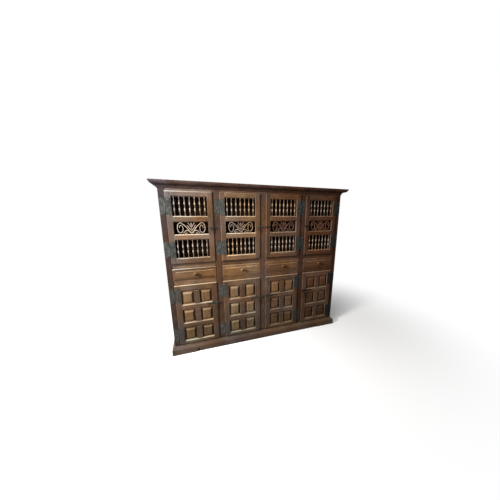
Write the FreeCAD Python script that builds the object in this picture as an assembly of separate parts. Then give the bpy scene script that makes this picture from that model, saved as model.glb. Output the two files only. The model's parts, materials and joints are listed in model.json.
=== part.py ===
import FreeCAD, Part
import math
import os

# A wide four-bay storage cupboard of solid wood with wrought-iron fittings.
# Each bay has a spindle door above, a drawer in the middle and a panelled door below.
# Lengths are millimetres. X runs to the right, Y runs to the back, Z runs up from the floor.
Vector = FreeCAD.Vector

# Case
cabinet_height = 1830.0
case_width = 2056.0
case_depth = 430.0
bay_count = 4
corner_stile_width = 56.0
post_width = 72.0
face_frame_thickness = 22.0
side_thickness = 22.0
side_plank_count = 3
back_thickness = 12.0
back_board_count = 9
deck_thickness = 18.0
partition_thickness = 20.0
base_clearance = 40.0

# Crown and top
crown_height = 65.0
crown_projection = 62.0
crown_bead = 8.0
crown_lip = 5.0
crown_bulge = 5.0
top_board_thickness = 14.0
top_board_count = 3

# Plinth
plinth_height = 98.0
plinth_projection = 31.0
plinth_board_height = 56.0
plinth_step = 4.0
plinth_top_ledge = 4.0
plinth_bulge = 3.5
foot_length = 262.0
foot_cusp_radius = 26.0
apron_gap = 4.0

# Heights on the face, from the plinth up to the crown
door_foot_gap = 6.0
lower_door_share = 0.497
lower_rail_reveal = 52.0
drawer_front_height = 125.0
upper_rail_reveal = 57.0
frieze_reveal = 20.0

# How doors and drawer fronts lap over the face frame
front_proud = 10.0
lip_overlap = 8.0
lip_seat_gap = 0.5
tongue_depth = 14.0
fit_gap = 1.0
arris = 3.0

# Upper doors
upper_stile_width = 52.0
upper_top_rail = 52.0
upper_mid_rail = 59.0
upper_low_rail = 58.0
upper_bottom_rail = 58.0
carved_height = 119.0
upper_bevel = 8.0

# Turned spindles
spindle_count = 7
spindle_radius = 9.0
spindle_sides = 6
spindle_ring_shares = [(0, 0.55), (0.37, 1), (0.5, 0.5), (0.63, 1), (1, 0.55)]

# Pierced scroll panel
carving_thickness = 14.0
strand_width = 10.0
scroll_steps = 10
scroll_centre_share = 0.68
scroll_reach_share = 0.21
scroll_rise_share = 0.95
scroll_start_turn_share = 0.375
scroll_end_turn_share = -0.92
scroll_eye_share = 0.34
arm_shares = [(0.6, 0.86), (0.5, 0.62), (0.335, 0.22), (0.21, -0.2), (0.1, -0.62), (0.0, -0.86)]
arch_shares = [(0.52, -0.84), (0.44, -0.58), (0.33, -0.4), (0.2, -0.44), (0.08, -0.76)]
heart_shares = [(0.26, 0.5), (0.16, 0.08), (0.0, -0.42)]
petal_shares = [(0.21, 0.98), (0.12, 0.56), (0.0, 0.08)]
stem_shares = [(0.0, -1), (0.0, 0.5)]
bud_shares = [(0.0, 0.3), (0.07, 0.62), (0.0, 0.98), (-0.07, 0.62)]

# Lower doors
lower_stile_width = 58.0
lower_muntin_width = 58.0
lower_top_rail = 70.0
lower_mid_rail = 66.0
lower_bottom_rail = 51.0
lower_bevel = 11.0
panel_columns = 2
panel_rows = 3
panel_edge_depth = 12.0
panel_field_depth = 1.0
panel_flat = 12.0
panel_border_side = 27.0
panel_border_end = 28.0

# Drawers
drawer_border = 7.0
drawer_field_bevel = 28.0
drawer_field_rise = 6.0
drawer_field_step = 2.0
drawer_side_thickness = 12.0
drawer_bottom_thickness = 8.0
drawer_box_height = 84.0
drawer_back_gap = 26.0
drawer_gap = 0.5
guide_height = 30.0

# Knobs
knob_radius = 20.0
knob_length = 30.0
knob_sides = 10
knob_profile_shares = [(0.5, 0), (0.4, 0.3), (1, 0.6), (0.8, 0.9), (0.3, 1)]

# Shelves
shelf_thickness = 18.0
shelf_setback = 66.0

# Butterfly hinges
hinge_height = 168.0
frame_leaf_width = 44.0
door_leaf_width = 50.0
leaf_thickness = 2.0
eye_radius = 5.0
eye_sides = 6
eye_edge_gap = 6.0
eye_turn_gap = 0.5
eye_length = 56.0
rod_radius = 3.0
rod_running_gap = 0.05
hinge_inset_upper = 145.0
hinge_inset_lower_top = 113.0
hinge_inset_lower_bottom = 122.0
leaf_outline_shares = [(0, 0.42), (0.5, 0.5), (1, 0.4), (0.88, 0.14)]

# Slide bolts
bolt_bar_height = 8.0
bolt_bar_depth = 8.0
bolt_length_upper = 42.0
bolt_length_lower = 114.0
bolt_edge_inset = 4.0
bolt_throw = 18.0
bolt_tip = 3.0
bolt_gap = 0.4
bolt_plate_thickness = 2.0
bolt_plate_height = 20.0
staple_width = 6.0
staple_strap = 3.0
bolt_height_lower = 461.0
pull_inset = 33.0
pull_stem = 6.0
pull_width = 13.0
pull_drop_upper = 46.0
pull_drop_lower = 92.0
pull_thickness = 4.0
pull_belly_share = 0.75

# Cutting overrun
overrun = 5.0

# Places worked out from the sizes above
half_width = case_width / 2
face_y = (crown_projection - case_depth) / 2
back_y = face_y + case_depth
frame_back_y = face_y + face_frame_thickness
inner_back_y = back_y - back_thickness
front_y = face_y - front_proud
tongue_y = face_y + tongue_depth
seat_y = face_y - lip_seat_gap
tongue_inset = lip_overlap + fit_gap

bay_pitch = (case_width - 2 * corner_stile_width + post_width) / bay_count
door_width = bay_pitch - post_width
crown_low = cabinet_height - crown_height
carcass_top = cabinet_height - top_board_thickness

lower_door_low = plinth_height + door_foot_gap
upper_door_high = crown_low - frieze_reveal
between_doors = lower_rail_reveal + drawer_front_height + upper_rail_reveal
lower_door_height = (upper_door_high - lower_door_low - between_doors) * lower_door_share
lower_door_high = lower_door_low + lower_door_height
drawer_low = lower_door_high + lower_rail_reveal
drawer_high = drawer_low + drawer_front_height
upper_door_low = drawer_high + upper_rail_reveal

floor_top = lower_door_low + lip_overlap
lower_deck_top = drawer_low + lip_overlap
upper_deck_top = upper_door_low + lip_overlap

eye_flat = eye_radius * math.cos(math.pi / eye_sides)
eye_bore = (rod_radius + rod_running_gap) / math.cos(math.pi / eye_sides)
hinge_axis_y = front_y - leaf_thickness / 2 + eye_flat
bolt_back_y = front_y - bolt_plate_thickness - bolt_gap
bolt_front_y = bolt_back_y - bolt_bar_depth


def door_left(bay):
    return corner_stile_width - half_width + bay * bay_pitch


def door_right(bay):
    return door_left(bay) + door_width


def opening_left(bay):
    return door_left(bay) + lip_overlap


def opening_right(bay):
    return door_right(bay) - lip_overlap


def bay_wall_left(bay):
    """Inner face of the side or partition on the left of a bay."""
    if bay == 0:
        return side_thickness - half_width
    return door_left(bay) - post_width / 2 + partition_thickness / 2


def bay_wall_right(bay):
    return -bay_wall_left(bay_count - 1 - bay)


def hinged_left(bay):
    """The doors of the left half turn on their left edges, the others on their right."""
    return bay < bay_count / 2


def hinge_edge(bay):
    """X of the hinged edge, and the direction from it across the door."""
    if hinged_left(bay):
        return door_left(bay), 1
    return door_right(bay), -1


def hinge_axis_x(bay):
    edge, across = hinge_edge(bay)
    return edge - across * eye_edge_gap


def board(x_low, x_high, y_low, y_high, z_low, z_high):
    corner = Vector(x_low, y_low, z_low)
    return Part.makeBox(x_high - x_low, y_high - y_low, z_high - z_low, corner)


def flat(corners):
    return Part.Face(Part.makePolygon(corners + corners[:1]))


def prism(corners, run):
    return flat(corners).extrude(run)


def faceted(rings):
    """A solid with flat sides between rings of corners, closed by its first and last ring."""
    faces = [flat(rings[0][::-1]), flat(rings[-1])]
    for low, high in zip(rings, rings[1:]):
        for index in range(len(low)):
            after = (index + 1) % len(low)
            faces.append(flat([low[index], low[after], high[after], high[index]]))
    shell = Part.makeShell(faces)
    shell.sewShape()
    return Part.makeSolid(shell)


def join(solids):
    return solids[0].multiFuse(solids[1:]).removeSplitter()


def save(name, solids):
    shape = solids[0] if len(solids) == 1 else Part.makeCompound(solids)
    shape.exportStep("parts/" + name + ".step")


# Case boards

def side_planks():
    plank_depth = (case_depth - face_frame_thickness) / side_plank_count
    planks = []
    for x_low in (-half_width, half_width - side_thickness):
        for index in range(side_plank_count):
            y_low = frame_back_y + index * plank_depth
            planks.append(board(x_low, x_low + side_thickness, y_low, y_low + plank_depth, 0, carcass_top))
    return planks


def back_boards():
    width = (case_width - 2 * side_thickness) / back_board_count
    first = side_thickness - half_width
    boards = []
    for index in range(back_board_count):
        x_low = first + index * width
        boards.append(board(x_low, x_low + width, inner_back_y, back_y, base_clearance, carcass_top))
    return boards


def decks():
    x_low = side_thickness - half_width
    tops = (floor_top, lower_deck_top, upper_deck_top)
    return [board(x_low, -x_low, frame_back_y, inner_back_y, top - deck_thickness, top) for top in tops]


def partitions():
    spans = (
        (floor_top, lower_deck_top - deck_thickness),
        (lower_deck_top, upper_deck_top - deck_thickness),
        (upper_deck_top, carcass_top),
    )
    walls = []
    for bay in range(1, bay_count):
        x_high = bay_wall_left(bay)
        x_low = x_high - partition_thickness
        for z_low, z_high in spans:
            walls.append(board(x_low, x_high, frame_back_y, inner_back_y, z_low, z_high))
    return walls


def face_posts():
    posts = []
    for bay in range(bay_count + 1):
        at_corner = bay in (0, bay_count)
        x_low = -half_width if bay == 0 else opening_right(bay - 1)
        x_high = half_width if bay == bay_count else opening_left(bay)
        z_low = 0 if at_corner else base_clearance
        posts.append(board(x_low, x_high, face_y, frame_back_y, z_low, carcass_top))
    return posts


def face_rails():
    spans = (
        (base_clearance, floor_top),
        (lower_door_high - lip_overlap, lower_deck_top),
        (drawer_high - lip_overlap, upper_deck_top),
        (upper_door_high - lip_overlap, carcass_top),
    )
    rails = []
    for bay in range(bay_count):
        for z_low, z_high in spans:
            rails.append(board(opening_left(bay), opening_right(bay), face_y, frame_back_y, z_low, z_high))
    return rails


def shelves():
    """One shelf in each upper and lower compartment, level with a rail of the closed door."""
    middles = (
        upper_rows()[2][1] + upper_low_rail / 2,
        lower_rows()[1][1] + lower_mid_rail / 2,
    )
    y_low = frame_back_y + shelf_setback
    boards = []
    for bay in range(bay_count):
        for middle in middles:
            z_low = middle - shelf_thickness / 2
            z_high = middle + shelf_thickness / 2
            boards.append(board(bay_wall_left(bay), bay_wall_right(bay), y_low, inner_back_y, z_low, z_high))
    return boards


def drawer_guides():
    """Strips on the deck that fill the space between a wall and the drawer's path."""
    z_low = lower_deck_top
    z_high = z_low + guide_height
    guides = []
    for bay in range(bay_count):
        for x_low, x_high in (
            (bay_wall_left(bay), opening_left(bay)),
            (opening_right(bay), bay_wall_right(bay)),
        ):
            guides.append(board(x_low, x_high, frame_back_y, inner_back_y, z_low, z_high))
    return guides


def top_boards():
    reach = half_width + crown_projection
    front = face_y - crown_projection
    depth = (back_y - front) / top_board_count
    boards = []
    for index in range(top_board_count):
        y_low = front + index * depth
        boards.append(board(-reach, reach, y_low, y_low + depth, carcass_top, cabinet_height))
    return boards


# Mouldings

def bent_edge(start, end, bulge, place):
    """An arc from start to end that stands out to its right by bulge."""
    run = end[0] - start[0]
    rise = end[1] - start[1]
    chord = math.hypot(run, rise)
    middle = (
        (start[0] + end[0]) / 2 + bulge * rise / chord,
        (start[1] + end[1]) / 2 - bulge * run / chord,
    )
    return Part.Arc(place(start), place(middle), place(end)).toShape()


def moulding_face(corners, bulges, place):
    """A section whose corners are (reach, height). A bulge of zero makes a straight edge."""
    edges = []
    for index, bulge in enumerate(bulges):
        start = corners[index]
        end = corners[(index + 1) % len(corners)]
        if bulge == 0:
            edges.append(Part.makeLine(place(start), place(end)))
        else:
            edges.append(bent_edge(start, end, bulge, place))
    return Part.Face(Part.Wire(edges))


def mitred_mouldings(corners, bulges, reach, z_low, z_high):
    """One moulding along the front and one along each side, mitred at the two corners."""
    out_x = half_width + reach
    out_y = face_y - reach

    def plan(points):
        corners_low = [Vector(x, y, z_low) for x, y in points]
        return prism(corners_low, Vector(0, 0, z_high - z_low))

    front = moulding_face(corners, bulges, lambda p: Vector(-out_x, face_y - p[0], p[1]))
    front = front.extrude(Vector(2 * out_x, 0, 0))
    front_plan = [(-half_width, face_y), (-out_x, out_y), (out_x, out_y), (half_width, face_y)]
    pieces = [front.common(plan(front_plan))]
    for side in (-1, 1):
        run = moulding_face(corners, bulges, lambda p: Vector(side * (half_width + p[0]), out_y, p[1]))
        run = run.extrude(Vector(0, back_y - out_y, 0))
        side_plan = [
            (side * half_width, face_y),
            (side * out_x, out_y),
            (side * out_x, back_y),
            (side * half_width, back_y),
        ]
        pieces.append(run.common(plan(side_plan)))
    return pieces


def crown_moulding():
    """A cyma under the top boards: a small bead below, a hollow, a swell and a fillet."""
    reach = crown_projection - crown_lip
    waist = (crown_bead + reach) / 2
    waist_z = (crown_low + crown_bead + carcass_top - crown_lip) / 2
    corners = [
        (0, crown_low),
        (crown_bead, crown_low),
        (crown_bead, crown_low + crown_bead),
        (waist, waist_z),
        (reach, carcass_top - crown_lip),
        (reach, carcass_top),
        (0, carcass_top),
    ]
    bulges = [0, 0, -crown_bulge, crown_bulge, 0, 0, 0]
    return mitred_mouldings(corners, bulges, crown_projection, crown_low, carcass_top)


def base_plinth():
    """A skirting board with an ogee top, cut underneath to leave two bracket feet."""
    reach = plinth_projection - plinth_step
    waist = (reach + plinth_top_ledge) / 2
    waist_z = (plinth_board_height + plinth_step + plinth_height) / 2
    corners = [
        (0, 0),
        (plinth_projection, 0),
        (plinth_projection, plinth_board_height),
        (reach, plinth_board_height + plinth_step),
        (waist, waist_z),
        (plinth_top_ledge, plinth_height),
        (0, plinth_height),
    ]
    bulges = [0, 0, 0, plinth_bulge, -plinth_bulge, 0, 0]
    pieces = mitred_mouldings(corners, bulges, plinth_projection, 0, plinth_height)
    foot_end = half_width + plinth_projection - foot_length
    y_low = face_y - plinth_projection - overrun
    y_high = face_y + overrun
    cut = board(-foot_end, foot_end, y_low, y_high, -overrun, apron_gap)
    for side in (-1, 1):
        cusp_x = side * (foot_end - foot_cusp_radius)
        start = Vector(side * foot_end, y_low, apron_gap)
        half_way = foot_cusp_radius * math.sin(math.pi / 4)
        middle = Vector(cusp_x + side * half_way, y_low, apron_gap + half_way)
        peak = Vector(cusp_x, y_low, apron_gap + foot_cusp_radius)
        base = Vector(cusp_x, y_low, apron_gap)
        edges = [
            Part.Arc(start, middle, peak).toShape(),
            Part.makeLine(peak, base),
            Part.makeLine(base, start),
        ]
        cusp = Part.Face(Part.Wire(edges)).extrude(Vector(0, y_high - y_low, 0))
        cut = cut.fuse(cusp)
    pieces[0] = pieces[0].cut(cut).removeSplitter()
    return pieces


# Door members

def lipped_section(width):
    """Section of a member at the door's rim: (distance in from the rim, y)."""
    return [
        (0, seat_y),
        (0, front_y + arris),
        (arris, front_y),
        (width, front_y),
        (width, tongue_y),
        (tongue_inset, tongue_y),
        (tongue_inset, seat_y),
    ]


def sill_section(width, bevel):
    """The same with its inner arris bevelled, for rails under and over an opening."""
    section = lipped_section(width)
    section[3:4] = [(width - bevel, front_y), (width, front_y + bevel)]
    return section


def inner_section(width, bevel):
    return [
        (0, front_y + bevel),
        (bevel, front_y),
        (width - bevel, front_y),
        (width, front_y + bevel),
        (width, tongue_y),
        (0, tongue_y),
    ]


def upright(section, x_rim, inward, z_low, z_high):
    corners = [Vector(x_rim + inward * distance, y, z_low) for distance, y in section]
    return prism(corners, Vector(0, 0, z_high - z_low))


def crosspiece(section, z_rim, inward, x_low, x_high):
    corners = [Vector(x_low, y, z_rim + inward * distance) for distance, y in section]
    return prism(corners, Vector(x_high - x_low, 0, 0))


def lipped_stile(x_rim, inward, width, z_low, z_high):
    """A rim stile whose two ends are rebated and bevelled like its long edge."""
    stile = upright(lipped_section(width), x_rim, inward, z_low, z_high)
    x_a = min(x_rim, x_rim + inward * width) - overrun
    x_b = x_a + width + 2 * overrun
    for z_end, into in ((z_low, 1), (z_high, -1)):
        z_out = z_end - into * overrun
        z_in = z_end + into * tongue_inset
        stile = stile.cut(board(x_a, x_b, seat_y, tongue_y + overrun, min(z_out, z_in), max(z_out, z_in)))
        wedge = [
            Vector(x_a, front_y, z_end + into * arris),
            Vector(x_a, front_y + arris, z_end),
            Vector(x_a, front_y, z_end),
        ]
        stile = stile.cut(prism(wedge, Vector(x_b - x_a, 0, 0)))
    return stile


def upper_rows():
    """Heights of the rails and openings of an upper door, from the top down."""
    rails = upper_top_rail + upper_mid_rail + upper_low_rail + upper_bottom_rail
    spindle_height = (upper_door_high - upper_door_low - rails - carved_height) / 2
    top_opening = (upper_door_high - upper_top_rail - spindle_height, upper_door_high - upper_top_rail)
    carved_top = top_opening[0] - upper_mid_rail
    carved_opening = (carved_top - carved_height, carved_top)
    low_top = carved_opening[0] - upper_low_rail
    low_opening = (low_top - spindle_height, low_top)
    return top_opening, carved_opening, low_opening


def upper_door_frame(bay):
    left = door_left(bay)
    right = door_right(bay)
    x_low = left + upper_stile_width
    x_high = right - upper_stile_width
    top, carved, low = upper_rows()
    return [
        lipped_stile(left, 1, upper_stile_width, upper_door_low, upper_door_high),
        lipped_stile(right, -1, upper_stile_width, upper_door_low, upper_door_high),
        crosspiece(sill_section(upper_top_rail, upper_bevel), upper_door_high, -1, x_low, x_high),
        crosspiece(inner_section(upper_mid_rail, upper_bevel), carved[1], 1, x_low, x_high),
        crosspiece(inner_section(upper_low_rail, upper_bevel), low[1], 1, x_low, x_high),
        crosspiece(sill_section(upper_bottom_rail, upper_bevel), upper_door_low, 1, x_low, x_high),
    ]


def spindle(x, y, z_low, z_high):
    rings = []
    for height_share, radius_share in spindle_ring_shares:
        radius = spindle_radius * radius_share
        z = z_low + (z_high - z_low) * height_share
        ring = []
        for side in range(spindle_sides):
            angle = 2 * math.pi * side / spindle_sides
            ring.append(Vector(x + radius * math.cos(angle), y + radius * math.sin(angle), z))
        rings.append(ring)
    return faceted(rings)


def door_spindles(bay):
    x_low = door_left(bay) + upper_stile_width
    pitch = (door_width - 2 * upper_stile_width) / spindle_count
    top, carved, low = upper_rows()
    y = (front_y + tongue_y) / 2
    turned = []
    for z_low, z_high in (top, low):
        for index in range(spindle_count):
            turned.append(spindle(x_low + (index + 1 / 2) * pitch, y, z_low, z_high))
    return turned


def scroll_line():
    """The volute: it winds from the arm round the rim of the panel and in to its eye."""
    line = []
    for step in range(scroll_steps + 1):
        share = step / scroll_steps
        turn = scroll_start_turn_share + (scroll_end_turn_share - scroll_start_turn_share) * share
        size = 1 - (1 - scroll_eye_share) * share ** 2
        angle = 2 * math.pi * turn
        x_share = scroll_centre_share + scroll_reach_share * size * math.cos(angle)
        line.append((x_share, scroll_rise_share * size * math.sin(angle)))
    return line


def strand(line, half_span, half_rise, centre, y_low, y_high):
    """A band of even width along a line that is given in shares of the half opening."""
    points = [(centre[0] + x * half_span, centre[1] + z * half_rise) for x, z in line]
    left_edge = []
    right_edge = []
    for index, (x, z) in enumerate(points):
        before = points[max(index - 1, 0)]
        after = points[min(index + 1, len(points) - 1)]
        length = math.hypot(after[0] - before[0], after[1] - before[1])
        across_x = (before[1] - after[1]) / length * strand_width / 2
        across_z = (after[0] - before[0]) / length * strand_width / 2
        left_edge.append(Vector(x + across_x, y_low, z + across_z))
        right_edge.append(Vector(x - across_x, y_low, z - across_z))
    return prism(left_edge + right_edge[::-1], Vector(0, y_high - y_low, 0))


def carved_panel(bay):
    """Two volutes, a heart and a bud, pierced right through and cut to the opening."""
    x_low = door_left(bay) + upper_stile_width
    x_high = door_right(bay) - upper_stile_width
    z_low, z_high = upper_rows()[1]
    centre = ((x_low + x_high) / 2, (z_low + z_high) / 2)
    half_span = (x_high - x_low) / 2
    half_rise = (z_high - z_low) / 2
    y_low = (front_y + tongue_y - carving_thickness) / 2
    y_high = y_low + carving_thickness
    pieces = []
    for side in (-1, 1):
        for line in (scroll_line(), arm_shares, arch_shares, heart_shares, petal_shares):
            pieces.append(strand(line, side * half_span, half_rise, centre, y_low, y_high))
    pieces.append(strand(stem_shares, half_span, half_rise, centre, y_low, y_high))
    bud = [Vector(centre[0] + x * half_span, y_low, centre[1] + z * half_rise) for x, z in bud_shares]
    pieces.append(prism(bud, Vector(0, carving_thickness, 0)))
    panel = join(pieces).common(board(x_low, x_high, y_low, y_high, z_low, z_high))
    return panel.removeSplitter().Solids


def lower_rows():
    """Heights of the panel openings of a lower door, from the top down."""
    rails = lower_top_rail + (panel_rows - 1) * lower_mid_rail + lower_bottom_rail
    height = (lower_door_height - rails) / panel_rows
    rows = []
    for row in range(panel_rows):
        z_high = lower_door_high - lower_top_rail - row * (height + lower_mid_rail)
        rows.append((z_high - height, z_high))
    return rows


def lower_columns(bay):
    muntins = (panel_columns - 1) * lower_muntin_width
    width = (door_width - 2 * lower_stile_width - muntins) / panel_columns
    columns = []
    for column in range(panel_columns):
        x_low = door_left(bay) + lower_stile_width + column * (width + lower_muntin_width)
        columns.append((x_low, x_low + width))
    return columns


def lower_door_frame(bay):
    left = door_left(bay)
    right = door_right(bay)
    x_low = left + lower_stile_width
    x_high = right - lower_stile_width
    rows = lower_rows()
    columns = lower_columns(bay)
    members = [
        lipped_stile(left, 1, lower_stile_width, lower_door_low, lower_door_high),
        lipped_stile(right, -1, lower_stile_width, lower_door_low, lower_door_high),
        crosspiece(sill_section(lower_top_rail, lower_bevel), lower_door_high, -1, x_low, x_high),
        crosspiece(sill_section(lower_bottom_rail, lower_bevel), lower_door_low, 1, x_low, x_high),
    ]
    for row in rows[1:]:
        members.append(crosspiece(inner_section(lower_mid_rail, lower_bevel), row[1], 1, x_low, x_high))
    for z_low, z_high in rows:
        for column in columns[1:]:
            x_muntin = column[0] - lower_muntin_width
            members.append(board(x_muntin, column[0], front_y, tongue_y, z_low, z_high))
    return members


def fielded(x_low, x_high, z_low, z_high, steps):
    """A panel built up from back to front. Each step is (side inset, end inset, y)."""
    rings = []
    for side, end, y in steps:
        ring = [
            Vector(x_low + side, y, z_low + end),
            Vector(x_high - side, y, z_low + end),
            Vector(x_high - side, y, z_high - end),
            Vector(x_low + side, y, z_high - end),
        ]
        rings.append(ring)
    return faceted(rings)


def lower_door_panels(bay):
    steps = [
        (0, 0, tongue_y),
        (0, 0, front_y + panel_edge_depth),
        (panel_flat, panel_flat, front_y + panel_edge_depth),
        (panel_border_side, panel_border_end, front_y + panel_field_depth),
    ]
    panels = []
    for x_low, x_high in lower_columns(bay):
        for z_low, z_high in lower_rows():
            panels.append(fielded(x_low, x_high, z_low, z_high, steps))
    return panels


# Drawers

def drawer_front(bay):
    """A tongue that enters the opening, a lip over the face frame, a wide bevel and a stepped field."""
    border_y = front_y + drawer_field_rise
    field_inset = drawer_border + drawer_field_bevel
    steps = [
        (tongue_inset, tongue_inset, tongue_y),
        (tongue_inset, tongue_inset, seat_y),
        (0, 0, seat_y),
        (0, 0, border_y + arris),
        (arris, arris, border_y),
        (drawer_border, drawer_border, border_y),
        (field_inset, field_inset, front_y + drawer_field_step),
        (field_inset, field_inset, front_y),
    ]
    return [fielded(door_left(bay), door_right(bay), drawer_low, drawer_high, steps)]


def drawer_box(bay):
    """Two sides and a back that stand round a bottom board."""
    x_low = door_left(bay) + tongue_inset
    x_high = door_right(bay) - tongue_inset
    y_high = inner_back_y - drawer_back_gap
    z_low = lower_deck_top + drawer_gap
    z_high = z_low + drawer_box_height
    x_in = x_low + drawer_side_thickness
    x_out = x_high - drawer_side_thickness
    y_back = y_high - drawer_side_thickness
    return [
        board(x_low, x_in, tongue_y, y_high, z_low, z_high),
        board(x_out, x_high, tongue_y, y_high, z_low, z_high),
        board(x_in, x_out, y_back, y_high, z_low, z_high),
        board(x_in, x_out, tongue_y, y_back, z_low, z_low + drawer_bottom_thickness),
    ]


def drawer_knob(bay):
    x = (door_left(bay) + door_right(bay)) / 2
    z = (drawer_low + drawer_high) / 2
    rings = []
    for radius_share, length_share in knob_profile_shares:
        radius = knob_radius * radius_share
        y = front_y - knob_length * length_share
        ring = []
        for side in range(knob_sides):
            angle = 2 * math.pi * side / knob_sides
            ring.append(Vector(x + radius * math.cos(angle), y, z + radius * math.sin(angle)))
        rings.append(ring)
    return [faceted(rings)]


# Hinges

def hinge_heights(low, high, inset_bottom, inset_top):
    return low + inset_bottom, high - inset_top


def leaf_plate(x_start, toward, width, z_centre, y_low, y_high):
    """A butterfly wing: narrow at the barrel, cusped along its outer edge."""
    upper = [(share_x * width, share_z * hinge_height) for share_x, share_z in leaf_outline_shares]
    lower = [(x, -z) for x, z in reversed(upper)]
    corners = [Vector(x_start + toward * x, y_low, z_centre + z) for x, z in upper + lower]
    return prism(corners, Vector(0, y_high - y_low, 0))


def faceted_rod(x, radius, z_low, z_high):
    corners = []
    for side in range(eye_sides):
        angle = 2 * math.pi * (side + 1 / 2) / eye_sides
        corners.append(Vector(x + radius * math.cos(angle), hinge_axis_y + radius * math.sin(angle), z_low))
    return prism(corners, Vector(0, 0, z_high - z_low))


def between(a, b, y_low, y_high, z_low, z_high):
    return board(min(a, b), max(a, b), y_low, y_high, z_low, z_high)


def frame_leaf(bay, z_centre):
    """The wing on the face frame. The eye on its lower half carries the round rod."""
    across = hinge_edge(bay)[1]
    axis_x = hinge_axis_x(bay)
    start = axis_x - across * (eye_radius + eye_turn_gap)
    plate = leaf_plate(start, -across, frame_leaf_width, z_centre, face_y - leaf_thickness, face_y)
    root = start - across * leaf_thickness
    z_low = z_centre - eye_length
    z_high = z_centre - eye_turn_gap / 2
    foot = between(axis_x, root, hinge_axis_y, face_y, z_low, z_high)
    eye = faceted_rod(axis_x, eye_radius, z_low, z_high)
    rod = Part.makeCylinder(rod_radius, z_centre + eye_length - z_high, Vector(axis_x, hinge_axis_y, z_high))
    return join([plate, foot, eye, rod])


def door_leaf(bay, z_centre):
    """The wing on the door, with the forged eye that turns on the rod."""
    edge, across = hinge_edge(bay)
    axis_x = hinge_axis_x(bay)
    z_low = z_centre + eye_turn_gap / 2
    z_high = z_centre + eye_length
    plate = leaf_plate(edge, across, door_leaf_width, z_centre, front_y - leaf_thickness, front_y)
    tab = between(axis_x, edge + across * leaf_thickness, front_y - leaf_thickness, front_y, z_low, z_high)
    eye = faceted_rod(axis_x, eye_radius, z_low, z_high)
    return join([plate, tab, eye]).cut(faceted_rod(axis_x, eye_bore, z_low, z_high))


def upper_hinges():
    return hinge_heights(upper_door_low, upper_door_high, hinge_inset_upper, hinge_inset_upper)


def lower_hinges():
    return hinge_heights(lower_door_low, lower_door_high, hinge_inset_lower_bottom, hinge_inset_lower_top)


# Slide bolts

def bolt_levels():
    """Height and length of the bolt on the upper and on the lower door."""
    carved = upper_rows()[1]
    upper_z = (carved[0] + carved[1]) / 2
    lower_z = lower_door_low + bolt_height_lower
    return (upper_z, bolt_length_upper), (lower_z, bolt_length_lower)


def free_edge(bay):
    """X of the edge that swings, and the direction from it out over the post."""
    if hinged_left(bay):
        return door_right(bay), 1
    return door_left(bay), -1


def staple(x_a, x_b, y_base, z):
    """A square hoop that stands on y_base and spans the bar with a little room."""
    inner = bolt_bar_height / 2 + bolt_gap
    outer = inner + staple_strap
    y_inner = bolt_front_y - bolt_gap
    y_outer = y_inner - staple_strap
    section = [
        (y_base, outer),
        (y_outer, outer),
        (y_outer, -outer),
        (y_base, -outer),
        (y_base, -inner),
        (y_inner, -inner),
        (y_inner, inner),
        (y_base, inner),
    ]
    x_low = min(x_a, x_b)
    corners = [Vector(x_low, y, z + height) for y, height in section]
    return prism(corners, Vector(abs(x_b - x_a), 0, 0))


def bolt_plate(bay, z, length):
    """The plate on the door with a staple near each end of the bar."""
    edge, outward = free_edge(bay)
    near = edge - outward * bolt_edge_inset
    far = near - outward * length
    half = bolt_plate_height / 2
    y_base = front_y - bolt_plate_thickness
    plate = between(near, far, y_base, front_y, z - half, z + half)
    hoops = [
        staple(near, near - outward * staple_width, y_base, z),
        staple(far, far + outward * staple_width, y_base, z),
    ]
    return join([plate] + hoops)


def bolt(bay, z, length, drop):
    """A square bar with a leaf-shaped pull hanging from it."""
    edge, outward = free_edge(bay)
    near = edge - outward * bolt_edge_inset
    far = near - outward * length
    half = bolt_bar_height / 2
    bar = between(near, far, bolt_front_y, bolt_back_y, z - half, z + half)
    x = edge - outward * pull_inset
    y_pull = bolt_front_y - bolt_gap - staple_strap - bolt_gap
    stem = board(x - pull_stem / 2, x + pull_stem / 2, y_pull, bolt_front_y, z - half, z + half)
    outline = [
        (-pull_width / 2, half),
        (pull_width / 2, half),
        (pull_stem / 2, -half),
        (pull_width / 2, half - drop * pull_belly_share),
        (0, half - drop),
        (-pull_width / 2, half - drop * pull_belly_share),
        (-pull_stem / 2, -half),
    ]
    corners = [Vector(x + across, y_pull - pull_thickness, z + height) for across, height in outline]
    return join([bar, stem, prism(corners, Vector(0, pull_thickness, 0))])


def keeper(bay, z):
    """The staple on the post. The tip of the thrown bar stands out past it."""
    edge, outward = free_edge(bay)
    far = edge + outward * (bolt_throw - bolt_edge_inset - bolt_tip)
    return staple(far - outward * staple_width, far, face_y, z)


os.makedirs("parts", exist_ok=True)

save("base_plinth", base_plinth())
save("side_planks", side_planks())
save("back_boards", back_boards())
save("decks", decks())
save("partitions", partitions())
save("face_posts", face_posts())
save("face_rails", face_rails())
save("shelves", shelves())
save("drawer_guides", drawer_guides())
save("top_boards", top_boards())
save("crown_moulding", crown_moulding())

case_iron = []
for bay in range(bay_count):
    for z_centre in upper_hinges() + lower_hinges():
        case_iron.append(frame_leaf(bay, z_centre))
    for z, length in bolt_levels():
        case_iron.append(keeper(bay, z))
save("case_ironwork", case_iron)

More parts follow.
